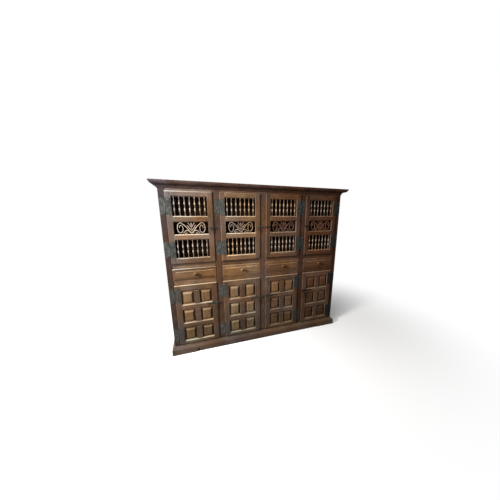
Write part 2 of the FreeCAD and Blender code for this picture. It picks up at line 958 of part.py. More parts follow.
for bay in range(bay_count):
    number = str(bay + 1)
    upper_bolt, lower_bolt = bolt_levels()
    upper_iron = [door_leaf(bay, z_centre) for z_centre in upper_hinges()]
    lower_iron = [door_leaf(bay, z_centre) for z_centre in lower_hinges()]
    save("upper_door_" + number + "_frame", upper_door_frame(bay))
    save("upper_door_" + number + "_spindles", door_spindles(bay))
    save("upper_door_" + number + "_carved_panel", carved_panel(bay))
    save("upper_door_" + number + "_ironwork", upper_iron + [bolt_plate(bay, *upper_bolt)])
    save("upper_bolt_" + number, [bolt(bay, *upper_bolt, pull_drop_upper)])
    save("lower_door_" + number + "_frame", lower_door_frame(bay))
    save("lower_door_" + number + "_panels", lower_door_panels(bay))
    save("lower_door_" + number + "_ironwork", lower_iron + [bolt_plate(bay, *lower_bolt)])
    save("lower_bolt_" + number, [bolt(bay, *lower_bolt, pull_drop_lower)])
    save("drawer_" + number + "_front", drawer_front(bay))
    save("drawer_" + number + "_box", drawer_box(bay))
    save("drawer_" + number + "_knob", drawer_knob(bay))
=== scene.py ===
import json
import math
import random

import bmesh
import bpy
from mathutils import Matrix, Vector


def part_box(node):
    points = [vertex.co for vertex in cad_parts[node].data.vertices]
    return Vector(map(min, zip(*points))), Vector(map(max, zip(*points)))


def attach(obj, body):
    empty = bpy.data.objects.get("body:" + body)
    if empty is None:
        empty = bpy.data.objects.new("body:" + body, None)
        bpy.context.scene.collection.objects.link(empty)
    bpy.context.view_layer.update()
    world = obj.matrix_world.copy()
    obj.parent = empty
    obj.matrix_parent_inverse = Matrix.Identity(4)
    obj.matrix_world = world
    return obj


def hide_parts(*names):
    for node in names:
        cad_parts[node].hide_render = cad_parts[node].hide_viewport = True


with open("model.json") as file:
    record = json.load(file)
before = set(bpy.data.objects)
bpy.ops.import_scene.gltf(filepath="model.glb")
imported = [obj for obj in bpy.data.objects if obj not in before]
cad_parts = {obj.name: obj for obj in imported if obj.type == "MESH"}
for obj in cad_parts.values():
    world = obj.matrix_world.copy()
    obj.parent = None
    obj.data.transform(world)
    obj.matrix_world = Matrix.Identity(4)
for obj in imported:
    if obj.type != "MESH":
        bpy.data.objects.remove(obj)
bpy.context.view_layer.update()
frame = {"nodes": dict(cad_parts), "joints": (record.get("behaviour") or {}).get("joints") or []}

random.seed(7)
BAYS = 4

# Side planks
# Three upright boards stand edge to edge on each side, behind the face frame.
# They are planed solid wood, stained dark brown and waxed, with edges rubbed round by use.

plank_ease = 0.0022


def put(tree, kind, inputs=None, **settings):
    """A node of a tree. An input is given its value, or the socket that feeds it."""
    made = tree.nodes.new(kind)
    for name, value in settings.items():
        setattr(made, name, value)
    for name, value in (inputs or {}).items():
        if isinstance(value, bpy.types.NodeSocket):
            tree.links.new(value, made.inputs[name])
        else:
            made.inputs[name].default_value = value
    return made


def maths(tree, operation, *values):
    return put(tree, "ShaderNodeMath", dict(enumerate(values)), operation=operation).outputs[0]


def ranged(tree, value, low, high, to_low, to_high, smooth=False):
    kind = "SMOOTHSTEP" if smooth else "LINEAR"
    levels = {0: value, 1: low, 2: high, 3: to_low, 4: to_high}
    return put(tree, "ShaderNodeMapRange", levels, interpolation_type=kind).outputs[0]


def product(tree, first, *others):
    for other in others:
        first = maths(tree, "MULTIPLY", first, other)
    return first


def mixed(tree, factor, first, second, way="MIX"):
    """Two colours mixed. Sockets 0, 6 and 7 of the node are the factor and the two colours."""
    levels = {0: factor, 6: first, 7: second}
    return put(tree, "ShaderNodeMix", levels, data_type="RGBA", blend_type=way).outputs[2]


def noise(tree, place, scale, detail=3.0, roughness=0.55):
    levels = {"Vector": place, "Scale": scale, "Detail": detail, "Roughness": roughness}
    return put(tree, "ShaderNodeTexNoise", levels).outputs["Fac"]


def parts_of(tree, vector):
    return put(tree, "ShaderNodeSeparateXYZ", {0: vector}).outputs


def vector_of(tree, x, y, z):
    return put(tree, "ShaderNodeCombineXYZ", {0: x, 1: y, 2: z}).outputs[0]


def vector_maths(tree, operation, first, second, output=0):
    return put(tree, "ShaderNodeVectorMath", {0: first, 1: second}, operation=operation).outputs[output]


def stretched(tree, place, shares):
    return vector_maths(tree, "MULTIPLY", place, shares)


def attribute(tree, name, output="Fac"):
    """What the mesh stores for each point under this name."""
    return put(tree, "ShaderNodeAttribute", attribute_name=name).outputs[output]


def object_place(tree):
    return put(tree, "ShaderNodeTexCoord").outputs["Object"]


def new_material(name):
    """A material with its tree and its shader."""
    material = bpy.data.materials.new(name)
    material.use_nodes = True
    return material, material.node_tree, material.node_tree.nodes["Principled BSDF"]


def new_group(name, takes, gives):
    """A shader group with named inputs and outputs, and the sockets at its two ends."""
    tree = bpy.data.node_groups.new(name, "ShaderNodeTree")
    for label, kind in takes.items():
        tree.interface.new_socket(label, in_out="INPUT", socket_type="NodeSocket" + kind)
    for label, kind in gives.items():
        tree.interface.new_socket(label, in_out="OUTPUT", socket_type="NodeSocket" + kind)
    return tree, tree.nodes.new("NodeGroupInput").outputs, tree.nodes.new("NodeGroupOutput").inputs


board_shift = (31.0, 17.0, 23.0)
band_stretch = (0.09, 1.0, 1.0)
cloud_stretch = (1.2, 14.0, 14.0)
fibre_stretch = (9.0, 240.0, 240.0)
pore_stretch = (14.0, 420.0, 420.0)
pore_range = (0.56, 0.70)
wave_share = 0.4
rub_noise = (38.0, 4.0, 0.65)
rub_range = (0.35, 0.70)
rub_shares = (0.15, 1.6)


def grain_group():
    """Growth bands and open pores that run along a board's own X. Each board has its own cut."""
    takes = {"Place": "Vector", "Board": "Float", "Band Scale": "Float"}
    gives = {"Bands": "Float", "Pores": "Float", "Fibre": "Float"}
    tree, given, wanted = new_group("sawn grain", takes, gives)
    levels = {0: board_shift, "Scale": given["Board"]}
    shift = put(tree, "ShaderNodeVectorMath", levels, operation="SCALE").outputs[0]
    moved = vector_maths(tree, "ADD", given["Place"], shift)
    levels = {
        "Vector": stretched(tree, moved, band_stretch), "Scale": given["Band Scale"], "Distortion": 7.0,
        "Detail": 3.0, "Detail Scale": 0.9, "Detail Roughness": 0.55,
    }
    wave = put(tree, "ShaderNodeTexWave", levels, wave_type="BANDS", bands_direction="DIAGONAL")
    cloud = noise(tree, stretched(tree, moved, cloud_stretch), 1.0)
    clouded = product(tree, cloud, 1.0 - wave_share)
    bands = maths(tree, "MULTIPLY_ADD", wave.outputs["Fac"], wave_share, clouded)
    fibre = noise(tree, stretched(tree, moved, fibre_stretch), 1.0, 2.0)
    pores = noise(tree, stretched(tree, moved, pore_stretch), 1.0, 1.0)
    pores = ranged(tree, pores, *pore_range, 0.0, 1.0)
    tree.links.new(bands, wanted["Bands"])
    tree.links.new(pores, wanted["Pores"])
    tree.links.new(fibre, wanted["Fibre"])
    return tree


def margins_of(tree, place, half):
    """How far a point is from the ends of its board along each of the board's own axes."""
    inside = put(tree, "ShaderNodeVectorMath", {0: place}, operation="ABSOLUTE").outputs[0]
    return parts_of(tree, vector_maths(tree, "SUBTRACT", half, inside))


def worn_edge_group():
    """How near a point is to the nearest long edge of its board, broken up as real rubbing is."""
    takes = {"Place": "Vector", "Half": "Vector", "Reach": "Float"}
    tree, given, wanted = new_group("worn edge", takes, {"Mask": "Float"})
    axes = margins_of(tree, given["Place"], given["Half"])
    least = maths(tree, "MINIMUM", axes[0], axes[1])
    most = maths(tree, "MAXIMUM", axes[0], axes[1])
    second = maths(tree, "MAXIMUM", least, maths(tree, "MINIMUM", most, axes[2]))
    broken = noise(tree, given["Place"], *rub_noise)
    reach = product(tree, given["Reach"], ranged(tree, broken, *rub_range, *rub_shares))
    mask = ranged(tree, maths(tree, "DIVIDE", second, reach), 0.0, 1.0, 1.0, 0.0, True)
    tree.links.new(mask, wanted["Mask"])
    return tree


GRAIN = grain_group()
WORN_EDGE = worn_edge_group()
first_low, first_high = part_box("upper_door_1_frame")
lower_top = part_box("lower_door_1_frame")[1].z
drawer_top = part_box("drawer_1_front")[1].z
skirting_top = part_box("base_plinth")[1].z
hard_border = 0.001
# Painted highlight on faces that look up or to the left: its strength, its fade inwards on level faces, and
# its fade to the right.
ledge_tilts = (0.12, 0.65)
level_tilts = (0.90, 0.97)
ledge_light_share = 0.85
ledge_depths = (0.003, 0.008)
inner_fade_share = 0.8
ledge_light_span = (-0.6, 0.1)
ledge_light_change = 0.01
ledge_light_least_shares = (0.30, 0.70)


def wear_and_painted_light(tree, worn, along, deep, height):
    """How pale the wood is made: worn edges, pale crests, and a painted highlight on faces that look up
    or to the left. The painted highlight fades inwards, and to the right, most of all on the lower doors."""
    ledge = attribute(tree, "ledge")
    level = ranged(tree, ledge, *level_tilts, 0.0, 1.0)
    fade_start, fade_end = [first_low.y + depth for depth in ledge_depths]
    inward = product(tree, level, ranged(tree, deep, fade_start, fade_end, 0.0, inner_fade_share))
    lit = ranged(tree, ledge, *ledge_tilts, 0.0, ledge_light_share)
    lit = product(tree, lit, maths(tree, "SUBTRACT", 1.0, inward))
    least = ranged(tree, height, lower_top - ledge_light_change, lower_top + ledge_light_change, *ledge_light_least_shares)
    lit = product(tree, lit, ranged(tree, along, *ledge_light_span, 1.0, least))
    rub = maths(tree, "MAXIMUM", worn, attribute(tree, "crest"))
    return maths(tree, "MAXIMUM", rub, lit)


blotch_noise = (5.0, 4.0, 0.6)
blotch_range = (0.3, 0.7)
blotch_shares = (0.70, 1.28)
warm_noise = (3.4, 2.0, 0.5)
warm_range = (0.38, 0.62)
warm_shares = ((0.94, 1.03), (1.06, 0.95), (1.24, 0.81))
board_range = (0.0, 1.5)
board_red_shares = (0.36, 1.50)
board_green_shares = (0.28, 1.55)


def stain_tint(tree, stain, shown):
    """What the stain does to each colour: blotches, the board's own strength, and warm and cold places."""
    board = attribute(tree, "board")
    blotch = ranged(tree, stain, *blotch_range, *blotch_shares)
    warmth = noise(tree, shown, *warm_noise)
    red = product(tree, blotch, ranged(tree, board, *board_range, *board_red_shares))
    green = product(tree, blotch, ranged(tree, board, *board_range, *board_green_shares))
    warmed = []
    for level, shares in zip((red, green, green), warm_shares):
        warmed.append(product(tree, level, ranged(tree, warmth, *warm_range, *shares)))
    return vector_of(tree, *warmed)


# The wood is darker and greyer towards the floor.
floorward_heights = (0.12, 0.55)
floorward_tint = (0.74, 0.83, 0.84, 1.0)
corner_width = 0.12
corner_tint = (0.84, 0.97, 1.12, 1.0)
right_span = (-0.15, 0.75)
right_heights = (0.20, 0.70)
right_tint = (1.06, 0.86, 0.74, 1.0)
# A painted sheen: the upper left of the front is paled and cooled.
sheen_drops = (0.10, 0.03)
sheen_end = 0.3
sheen_tint = (1.25, 1.5, 1.9, 1.0)


def toned_and_sheened(tree, colour, reddened, along, height):
    """Greyer wood near the floor and at the left corner, redder to the right, and a painted pale sheen at the
    upper left.
    """
    floorward = ranged(tree, height, *floorward_heights, 1.0, 0.0)
    colour = mixed(tree, floorward, colour, floorward_tint, "MULTIPLY")
    greyer = ranged(tree, along, first_low.x, first_low.x + corner_width, 1.0, 0.0)
    colour = mixed(tree, greyer, colour, corner_tint, "MULTIPLY")
    redder = ranged(tree, along, *right_span, 0.0, reddened)
    redder = product(tree, redder, ranged(tree, height, *right_heights, 0.0, 1.0))
    colour = mixed(tree, redder, colour, right_tint, "MULTIPLY")
    sheen_low, sheen_high = [first_high.z - drop for drop in sheen_drops]
    sheened = ranged(tree, height, sheen_low, sheen_high, 0.0, 1.0)
    sheened = product(tree, sheened, ranged(tree, along, first_low.x, sheen_end, 1.0, 0.0))
    return mixed(tree, sheened, colour, sheen_tint, "MULTIPLY")


cap_depth = 0.009
# Painted highlights on the top edges of the upper doors, the lower doors and the drawers.
cap_highlights = (
    (first_high.z, 0.013, 0.75, -0.45, (0.50, 0.47, 0.42, 1.0)),
    (lower_top, 0.009, 0.80, 1.3, (0.46, 0.36, 0.23, 1.0)),
    (drawer_top, 0.010, 0.85, -0.50, (0.52, 0.48, 0.42, 1.0)),
)


def cap_highlighted(tree, colour, along, deep, height):
    """Painted highlights along the top edges of doors and drawers. Each cap has its top, how far it reaches
    down, its strength at the left, the place along the front where it ends, and its colour."""
    depth = first_low.y + cap_depth
    fronted = ranged(tree, deep, depth, depth + hard_border, 1.0, 0.0)
    for top, reach, most, end, highlight_colour in cap_highlights:
        cap = ranged(tree, height, top - reach, top - reach / 2, 0.0, most)
        cap = product(tree, cap, ranged(tree, along, first_low.x, end, 1.0, 0.0), fronted)
        cap = product(tree, cap, ranged(tree, height, top, top + hard_border, 1.0, 0.0))
        colour = mixed(tree, cap, colour, highlight_colour)
    return colour


# Painted shade: its colour, its strength on the sides of sunk borders, the band over the skirting, and the
# shadow under the door lips.
painted_shade_tone = (0.016, 0.010, 0.007, 1.0)
side_shade_share = 0.9
end_shade_share = 0.12
left_shade_share = 0.85
shade_turn = 0.003
sunk_shares = (0.05, 0.65)
skirting_shade_share = 0.75
skirting_shade_rises = (0.0015, 0.0035)
skirting_shade_ends = (0.012, 0.024)
lip_drops = (0.040, 0.012)


def side_shade(tree, place, half):
    """Painted shade on the upright edges of a sunk border, darkest on the edge away from the light."""
    margins = margins_of(tree, place, half)
    nearer = maths(tree, "SUBTRACT", margins[0], margins[1])
    beside = ranged(tree, nearer, -shade_turn, shade_turn, end_shade_share, 1.0)
    across = parts_of(tree, place)[1]
    handed = ranged(tree, across, -shade_turn, shade_turn, left_shade_share, 1.0)
    return product(tree, beside, handed, side_shade_share)


def painted_shading(tree, place, half, lip_shadow, height):
    """Painted shade in sunk borders and in a band over the skirting, and a painted shadow under the lips of
    the upper doors.
    """
    sunk = ranged(tree, attribute(tree, "sunk"), *sunk_shares, 0.0, 1.0, True)
    border_shade = product(tree, sunk, side_shade(tree, place, half))
    skirting_shade_low, skirting_shade_high = [skirting_top + rise for rise in skirting_shade_rises]
    fade_low, fade_high = [skirting_top + rise for rise in skirting_shade_ends]
    skirting_shade = ranged(tree, height, skirting_shade_low, skirting_shade_high, 0.0, skirting_shade_share)
    skirting_shade = product(tree, skirting_shade, ranged(tree, height, fade_low, fade_high, 1.0, 0.0, True))
    lip_low, lip_high = [first_low.z - drop for drop in lip_drops]
    under = ranged(tree, height, lip_low, lip_high, 0.0, lip_shadow, True)
    under = product(tree, under, ranged(tree, height, first_low.z, first_low.z + hard_border, 1.0, 0.0))
    return maths(tree, "MAXIMUM", maths(tree, "MAXIMUM", border_shade, skirting_shade), under)


wax_shine = 0.015
wax_roughness = 0.25
gloss_change = (-0.07, 0.09)
band_range = (0.2, 0.8)
pore_share = 0.55
pore_tone_share = 0.3
pore_depth_share = 0.6
grain_rise = 0.0006
grain_strength = 0.25
thin_reach = 0.0035
worn_reach = 0.004
soft_reach = 0.006
knocked_reach = 0.010
board_bands = 40.0
turning_bands = 60.0


def waxed_wood(name, dark, light, worn_and_lit, roughness=0.42, edge_reach=soft_reach, edge_wear=0.7,
               bands=board_bands, coat=0.03, reddened=1.0, lip_shadow=0.0):
    """Stained and waxed wood with bands and pores, paler on worn edges and crests. Painted highlights lie on
    faces that look up or to the left and along top edges, with a painted sheen at the upper left, and painted
    shade lies in sunk borders, over the skirting and under the upper doors.
    """
    material, tree, shader = new_material(name)
    place = attribute(tree, "place", "Vector")
    half = attribute(tree, "half", "Vector")
    levels = {"Place": place, "Board": attribute(tree, "board"), "Band Scale": bands}
    grain = put(tree, "ShaderNodeGroup", levels, node_tree=GRAIN).outputs
    levels = {"Place": place, "Half": half, "Reach": edge_reach}
    wear = put(tree, "ShaderNodeGroup", levels, node_tree=WORN_EDGE).outputs["Mask"]
    shown = object_place(tree)
    along, deep, height = parts_of(tree, shown)
    stain = noise(tree, shown, *blotch_noise)
    banded = ranged(tree, grain["Bands"], *band_range, 0.0, 1.0)
    colour = mixed(tree, banded, dark + (1.0,), light + (1.0,))
    pore_tone = tuple(share * pore_tone_share for share in dark) + (1.0,)
    colour = mixed(tree, product(tree, grain["Pores"], pore_share), colour, pore_tone)
    rub = wear_and_painted_light(tree, product(tree, wear, edge_wear), along, deep, height)
    colour = mixed(tree, rub, colour, worn_and_lit + (1.0,))
    colour = mixed(tree, 1.0, colour, stain_tint(tree, stain, shown), "MULTIPLY")
    colour = toned_and_sheened(tree, colour, reddened, along, height)
    colour = cap_highlighted(tree, colour, along, deep, height)
    colour = mixed(tree, painted_shading(tree, place, half, lip_shadow, height), colour, painted_shade_tone)
    tree.links.new(colour, shader.inputs["Base Color"])
    gloss = ranged(tree, stain, *blotch_range, *[roughness + change for change in gloss_change])
    tree.links.new(gloss, shader.inputs["Roughness"])
    shader.inputs["Coat Weight"].default_value = coat
    shader.inputs["Coat Roughness"].default_value = wax_roughness
    shader.inputs["Specular IOR Level"].default_value = wax_shine
    relief = maths(tree, "MULTIPLY_ADD", grain["Pores"], -pore_depth_share, grain["Fibre"])
    levels = {"Strength": grain_strength, "Distance": grain_rise, "Height": relief}
    bump = put(tree, "ShaderNodeBump", levels)
    tree.links.new(bump.outputs[0], shader.inputs["Normal"])
    return material


def solids_of(node):
    """The closed solids of a CAD node, in order, each as its corner points and its triangles."""
    mesh = frame["nodes"][node].data
    solids = []
    index_of = {}
    points = []
    triangles = []
    unpaired = set()
    for polygon in mesh.polygons:
        loop = []
        for vertex in polygon.vertices:
            point = mesh.vertices[vertex].co
            key = tuple(round(value, 6) for value in point)
            if key not in index_of:
                index_of[key] = len(points)
                points.append(point.copy())
            loop.append(index_of[key])
        triangles.append(loop)
        for start, end in zip(loop, loop[1:] + loop[:1]):
            if (end, start) in unpaired:
                unpaired.remove((end, start))
            else:
                unpaired.add((start, end))
        if not unpaired:
            solids.append((points, triangles))
            index_of, points, triangles = {}, [], []
    return solids


flat_angle = math.radians(1)
edge_angle = math.radians(25)
board_stain = (0.5, 0.85)
moulding_stain = (0.55, 1.0)


def eased(points, faces, ease, steps=2):
    """One solid as a bmesh, with flat faces made whole again and outer edges rounded."""
    shape = bmesh.new()
    corners = [shape.verts.new(point) for point in points]
    for face in faces:
        shape.faces.new([corners[index] for index in face])
    bmesh.ops.dissolve_limit(shape, angle_limit=flat_angle, verts=shape.verts[:], edges=shape.edges[:])
    sharp = [edge for edge in shape.edges if edge.is_convex and edge.calc_face_angle(0) > edge_angle]
    bmesh.ops.bevel(shape, geom=sharp, offset=ease, offset_type="OFFSET", segments=steps, profile=0.5,
                    affect="EDGES", clamp_overlap=True)
    return shape


def box_of(points):
    low = Vector([min(point[axis] for point in points) for axis in range(3)])
    high = Vector([max(point[axis] for point in points) for axis in range(3)])
    return low, high


def mark_board(shape, grain_axis=None, half=None, stain=moulding_stain):
    """Writes where each point lies in its own board, with the grain along the first axis."""
    low, high = box_of([vertex.co for vertex in shape.verts])
    middle = (low + high) / 2
    size = high - low
    order = sorted(range(3), key=lambda axis: -size[axis])
    if grain_axis is not None:
        order = [grain_axis] + [axis for axis in order if axis != grain_axis]
    place_layer = shape.verts.layers.float_vector.new("place")
    half_layer = shape.verts.layers.float_vector.new("half")
    board_layer = shape.verts.layers.float.new("board")
    board = random.uniform(*stain)
    reach = half or Vector([size[axis] / 2 for axis in order])
    for vertex in shape.verts:
        local = vertex.co - middle
        vertex[place_layer] = Vector([local[axis] for axis in order])
        vertex[half_layer] = reach
        vertex[board_layer] = board
    return order[0]


def mark_ledges(shape, side_share):
    """Writes how far each face looks up, or by a share to the left, for a painted highlight on those faces.
    """
    shape.normal_update()
    layer = shape.faces.layers.float.new("ledge")
    for face in shape.faces:
        face[layer] = max(face.normal.z, -face.normal.x * side_share, 0.0)


def add_shape(whole, part):
    """Moves a finished bmesh into the bmesh of the whole piece."""
    passing = bpy.data.meshes.new("passing")
    part.to_mesh(passing)
    part.free()
    whole.from_mesh(passing)
    bpy.data.meshes.remove(passing)


def stand(name, data):
    """Puts an object with this data in the scene."""
    thing = bpy.data.objects.new(name, data)
    bpy.context.scene.collection.objects.link(thing)
    return thing


def finish_piece(name, shape, materials, body, slot, *nodes, sharp_angle=38):
    """Turns a bmesh into a piece with smooth shading that keeps flat faces flat."""
    mesh = bpy.data.meshes.new(name)
    shape.to_mesh(mesh)
    shape.free()
    for material in materials:
        mesh.materials.append(material)
    mesh.polygons.foreach_set("use_smooth", [True] * len(mesh.polygons))
    mesh.set_sharp_from_angle(angle=math.radians(sharp_angle))
    piece = stand(name, mesh)
    weighted = piece.modifiers.new("even shading", "WEIGHTED_NORMAL")
    weighted.keep_sharp = True
    return settle_piece(piece, body, slot, *nodes)


def settle_piece(piece, body, slot, *nodes):
    """Makes a piece's modifiers final, hides the CAD nodes that it stands for, and hangs it on what it rides
    on.
    """
    seen = piece.evaluated_get(bpy.context.evaluated_depsgraph_get())
    final = bpy.data.meshes.new_from_object(seen)
    final.name = piece.name
    piece.modifiers.clear()
    piece.data = final
    if nodes:
        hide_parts(*nodes)
    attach(piece, body)
    return piece


def board_piece(name, node, materials, body, slot, ease, steps=2, stain=board_stain, side_light_share=None, fade=0.0):
    """A node's boards with eased edges. The second material is for boards that lie level. The stain is a
    range, or a function of a board's middle that gives one. The fade, for each metre, makes boards to the
    left paler and boards to the right darker, partly as stain and partly as painted shade."""
    whole = bmesh.new()
    for points, faces in solids_of(node):
        board = eased(points, faces, ease, steps)
        middle = sum(point.x for point in points) / len(points)
        levels = stain(middle) if callable(stain) else [level - fade * middle for level in stain]
        axis = mark_board(board, stain=levels)
        # Faces that look up, or to the left by this share, get a painted highlight.
        if side_light_share is not None:
            mark_ledges(board, side_light_share)
        level = 1 if axis == 0 and len(materials) > 1 else 0
        for face in board.faces:
            face.material_index = level
        add_shape(whole, board)
    return finish_piece(name, whole, materials, body, slot, node)


case_wood = waxed_wood("case wood", (0.060, 0.034, 0.021), (0.090, 0.053, 0.034), (0.17, 0.11, 0.07),
                       0.42, worn_reach, 0.3)
board_piece("side_boards", "side_planks", [case_wood], "case", "case_wood", plank_ease)

# Inner boards
# The back, the decks, the partitions, the shelves and the drawer guides close the carcass.
# They are thinner boards of the same wood, left raw and dull, and set in grooves and nailed.

inner_ease = 0.0012
inner_wood = waxed_wood("inner wood", (0.16, 0.095, 0.048), (0.24, 0.150, 0.080), (0.27, 0.18, 0.10), 0.7,
                        coat=0.0)
for node in ("back_boards", "decks", "partitions", "shelves", "drawer_guides"):
    board_piece(node + "_planed", node, [inner_wood], "case", "inner_wood", inner_ease)

# Face frame
# Posts and rails are joined flush in front of the carcass, and doors and drawers lap over them.
# Their faces are waxed often, so the grain shows and the edges are rubbed.

frame_ease = 0.0016
post_stains = (0.26, 0.68, 1.00, 0.36, 0.22)
rail_stain = (0.42, 0.58)
# Rails darken to the right, partly a stain and partly painted shade.
rail_shade_fade = 0.4
post_wood = waxed_wood("post wood", (0.064, 0.035, 0.023), (0.100, 0.058, 0.038), (0.18, 0.12, 0.08),
                       0.38, worn_reach, 0.2)
# The rails take a painted shadow under the lips of the upper doors.
rail_wood = waxed_wood("rail wood", (0.108, 0.061, 0.034), (0.172, 0.104, 0.061), (0.47, 0.37, 0.25),
                       0.36, thin_reach, 0.5, lip_shadow=0.7)


def post_stain(middle):
    """The stain of the post that stands at middle. The five posts are counted from the left."""
    low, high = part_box("face_posts")
    level = post_stains[round((middle - low.x) / (high.x - low.x) * BAYS)]
    return level, level


board_piece("posts", "face_posts", [post_wood], "case", "case_wood", frame_ease, stain=post_stain)
board_piece("rails", "face_rails", [post_wood, rail_wood], "case", "face_wood", frame_ease,
            stain=rail_stain, side_light_share=0.0, fade=rail_shade_fade)

# Crown
# A cyma moulding runs under the edge of the top boards and returns along both sides.
# The three lengths are planed in the solid, mitred at the corners and stained nearly black.

bead_radius = 0.004
cove_bulge = -0.0045
swell_bulge = 0.0050
nose_ease = 0.0035
nose_steps = 4
arc_steps = 6
crown_wood = waxed_wood("crown wood", (0.038, 0.020, 0.014), (0.065, 0.035, 0.025), (0.15, 0.09, 0.06),
                        0.40)


def arc_between(start, end, bulge):
    """Points on the arc from start to end that stands out to its right by bulge."""
    start, end = Vector(start), Vector(end)
    chord = end - start
    across = Vector((chord.y, -chord.x)).normalized()
    line = []
    for step in range(arc_steps + 1):
        share = step / arc_steps
        line.append(start + chord * share + across * bulge * 4 * share * (1 - share))
    return line


def join_rings(shape, first, second):
    """Faces between two rings that have the same number of points."""
    for index in range(len(first)):
        after = (index + 1) % len(first)
        shape.faces.new((first[index], first[after], second[after], second[index]))


def moulding_run(profile, corner_of, grain_axis):
    """One length of moulding. corner_of gives the point at each end for a reach and a height."""
    shape = bmesh.new()
    ends = [[shape.verts.new(corner_of(end, reach, height)) for reach, height in profile] for end in (0, 1)]
    join_rings(shape, *ends)
    shape.faces.new(ends[0])
    shape.faces.new(ends[1][::-1])
    bmesh.ops.recalc_face_normals(shape, faces=shape.faces)
    mark_board(shape, grain_axis)
    return shape


def mitred_runs(profile, half_width, face_y, back_y):
    """A left return, a front length and a right return that meet in mitres."""
    def left(end, reach, height):
        return (-half_width - reach, back_y if end == 0 else face_y - reach, height)

    def front(end, reach, height):
        return ((half_width + reach) * (2 * end - 1), face_y - reach, height)

    def right(end, reach, height):
        return (half_width + reach, face_y - reach if end == 0 else back_y, height)

    whole = bmesh.new()
    for corner_of, axis in ((left, 1), (front, 0), (right, 1)):
        add_shape(whole, moulding_run(profile, corner_of, axis))
    return whole


crown_low, crown_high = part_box("crown_moulding")
post_low, post_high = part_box("face_posts")
reach_out = post_low.y - crown_low.y
waist = (reach_out + bead_radius) / 2
waist_z = (crown_low.z + crown_high.z) / 2 + bead_radius
fillet = bead_radius * 1.2
bead_top = crown_low.z + 2 * bead_radius
nose_low = crown_high.z - fillet
crown_profile = [(0, crown_low.z)]
crown_profile += arc_between((bead_radius, crown_low.z), (bead_radius, bead_top), bead_radius)
crown_profile += arc_between((bead_radius, bead_top + fillet / 2), (waist, waist_z), cove_bulge)
crown_profile += arc_between((waist, waist_z), (reach_out - fillet / 2, nose_low), swell_bulge)[1:]
crown_profile += [(reach_out, nose_low), (reach_out, crown_high.z), (0, crown_high.z)]
crown = mitred_runs([tuple(point) for point in crown_profile], post_high.x, post_low.y, crown_high.y)
finish_piece("crown_cyma", crown, [crown_wood], "case", "crown_wood", "crown_moulding", sharp_angle=30)
board_piece("top_planks", "top_boards", [crown_wood], "case", "crown_wood", nose_ease, nose_steps)

# Plinth
# A skirting with an ogee top stands round the foot of the case, sawn out to leave two bracket feet.
# It takes knocks and wet mops, so its edges are worn and its stain is thin.

plinth_ease = 0.0025
plinth_wood = waxed_wood("plinth wood", (0.098, 0.056, 0.037), (0.150, 0.090, 0.062), (0.28, 0.19, 0.13),
                         0.45, knocked_reach)
apron_edge = (0.002, 0.06)
apron_lift = 0.009
skirting = bmesh.new()
# The sawn edge between the feet stands a little higher than in the solids.
for points, faces in solids_of("base_plinth"):
    for point in points:
        if apron_edge[0] < point.z < apron_edge[1]:
            point.z += apron_lift
    board = eased(points, faces, plinth_ease)
    mark_board(board)
    add_shape(skirting, board)
finish_piece("skirting", skirting, [plinth_wood], "case", "case_wood", "base_plinth")

# Upper door frames
# Each is two stiles and four rails with a lip that laps over the face frame.
# The rails' bevelled edges catch the light and carry a painted highlight, and the stiles are a shade darker.

door_ease = 0.0024
side_light_shares = {1: 0.2, 2: 0.25, 3: 0.85, 4: 0.85}
stile_wood = waxed_wood("stile wood", (0.080, 0.046, 0.029), (0.125, 0.075, 0.048), (0.26, 0.19, 0.13),
                        0.36, worn_reach, 0.25)
# Each bay's stain range, darker to the right: partly the wood's own stain, partly painted shade.
bay_stains_and_shade = {1: (0.5, 0.95), 2: (0.85, 1.25), 3: (0.38, 0.58), 4: (0.12, 0.30)}
for bay in range(1, BAYS + 1):
    body = f"upper_door_{bay}"
    woods = [stile_wood, rail_wood]
    board_piece(f"upper_joinery_{bay}", body + "_frame", woods, body, "face_wood", door_ease,
                stain=bay_stains_and_shade[bay], side_light_share=side_light_shares[bay])

# Spindles
# Two rows of seven turned balusters stand between the rails of each upper door.
# They have two swells with a bead between them, are stained dark, and have a painted highlight on the swells.

SPINDLE_COLUMNS = 7
SPINDLE_ROWS = 2
spindle_sides = 18
spindle_rings = 58
lit_side = (-0.42, -0.91, 0.0)
facing_range = (0.45, 0.98)
width_range = (0.45, 1.0)
swell_light_shares = (0.18, 0.66)
swell_shares = [
    (0.0, 0.56), (0.03, 0.54), (0.045, 0.68), (0.065, 0.46), (0.18, 0.52), (0.29, 0.84), (0.355, 1.0),
    (0.42, 0.74), (0.45, 0.46), (0.475, 0.46), (0.50, 0.64),
]
# Each bay's stain range, darker to the right: partly the wood's own stain, partly painted shade.
spindle_stains_and_shade = {1: (0.6, 0.9), 2: (0.6, 0.95), 3: (0.5, 0.8), 4: (0.35, 0.6)}
turned_wood = waxed_wood("turned wood", (0.046, 0.025, 0.015), (0.078, 0.045, 0.027), (0.42, 0.335, 0.25),
                         edge_wear=0.0, bands=turning_bands, reddened=0.1)


def geometry_group(name, takes):
    """A Geometry Nodes tree that takes a mesh and named sizes and gives a mesh."""
    tree = bpy.data.node_groups.new(name, "GeometryNodeTree")
    tree.interface.new_socket("Geometry", in_out="INPUT", socket_type="NodeSocketGeometry")
    for label, kind in takes.items():
        tree.interface.new_socket(label, in_out="INPUT", socket_type="NodeSocket" + kind)
    tree.interface.new_socket("Geometry", in_out="OUTPUT", socket_type="NodeSocketGeometry")
    return tree, tree.nodes.new("NodeGroupInput").outputs, tree.nodes.new("NodeGroupOutput").inputs


def stored(tree, geometry, name, value, kind="FLOAT", domain="POINT"):
    levels = {"Geometry": geometry, "Name": name, "Value": value}
    return put(tree, "GeometryNodeStoreNamedAttribute", levels, data_type=kind, domain=domain).outputs[0]


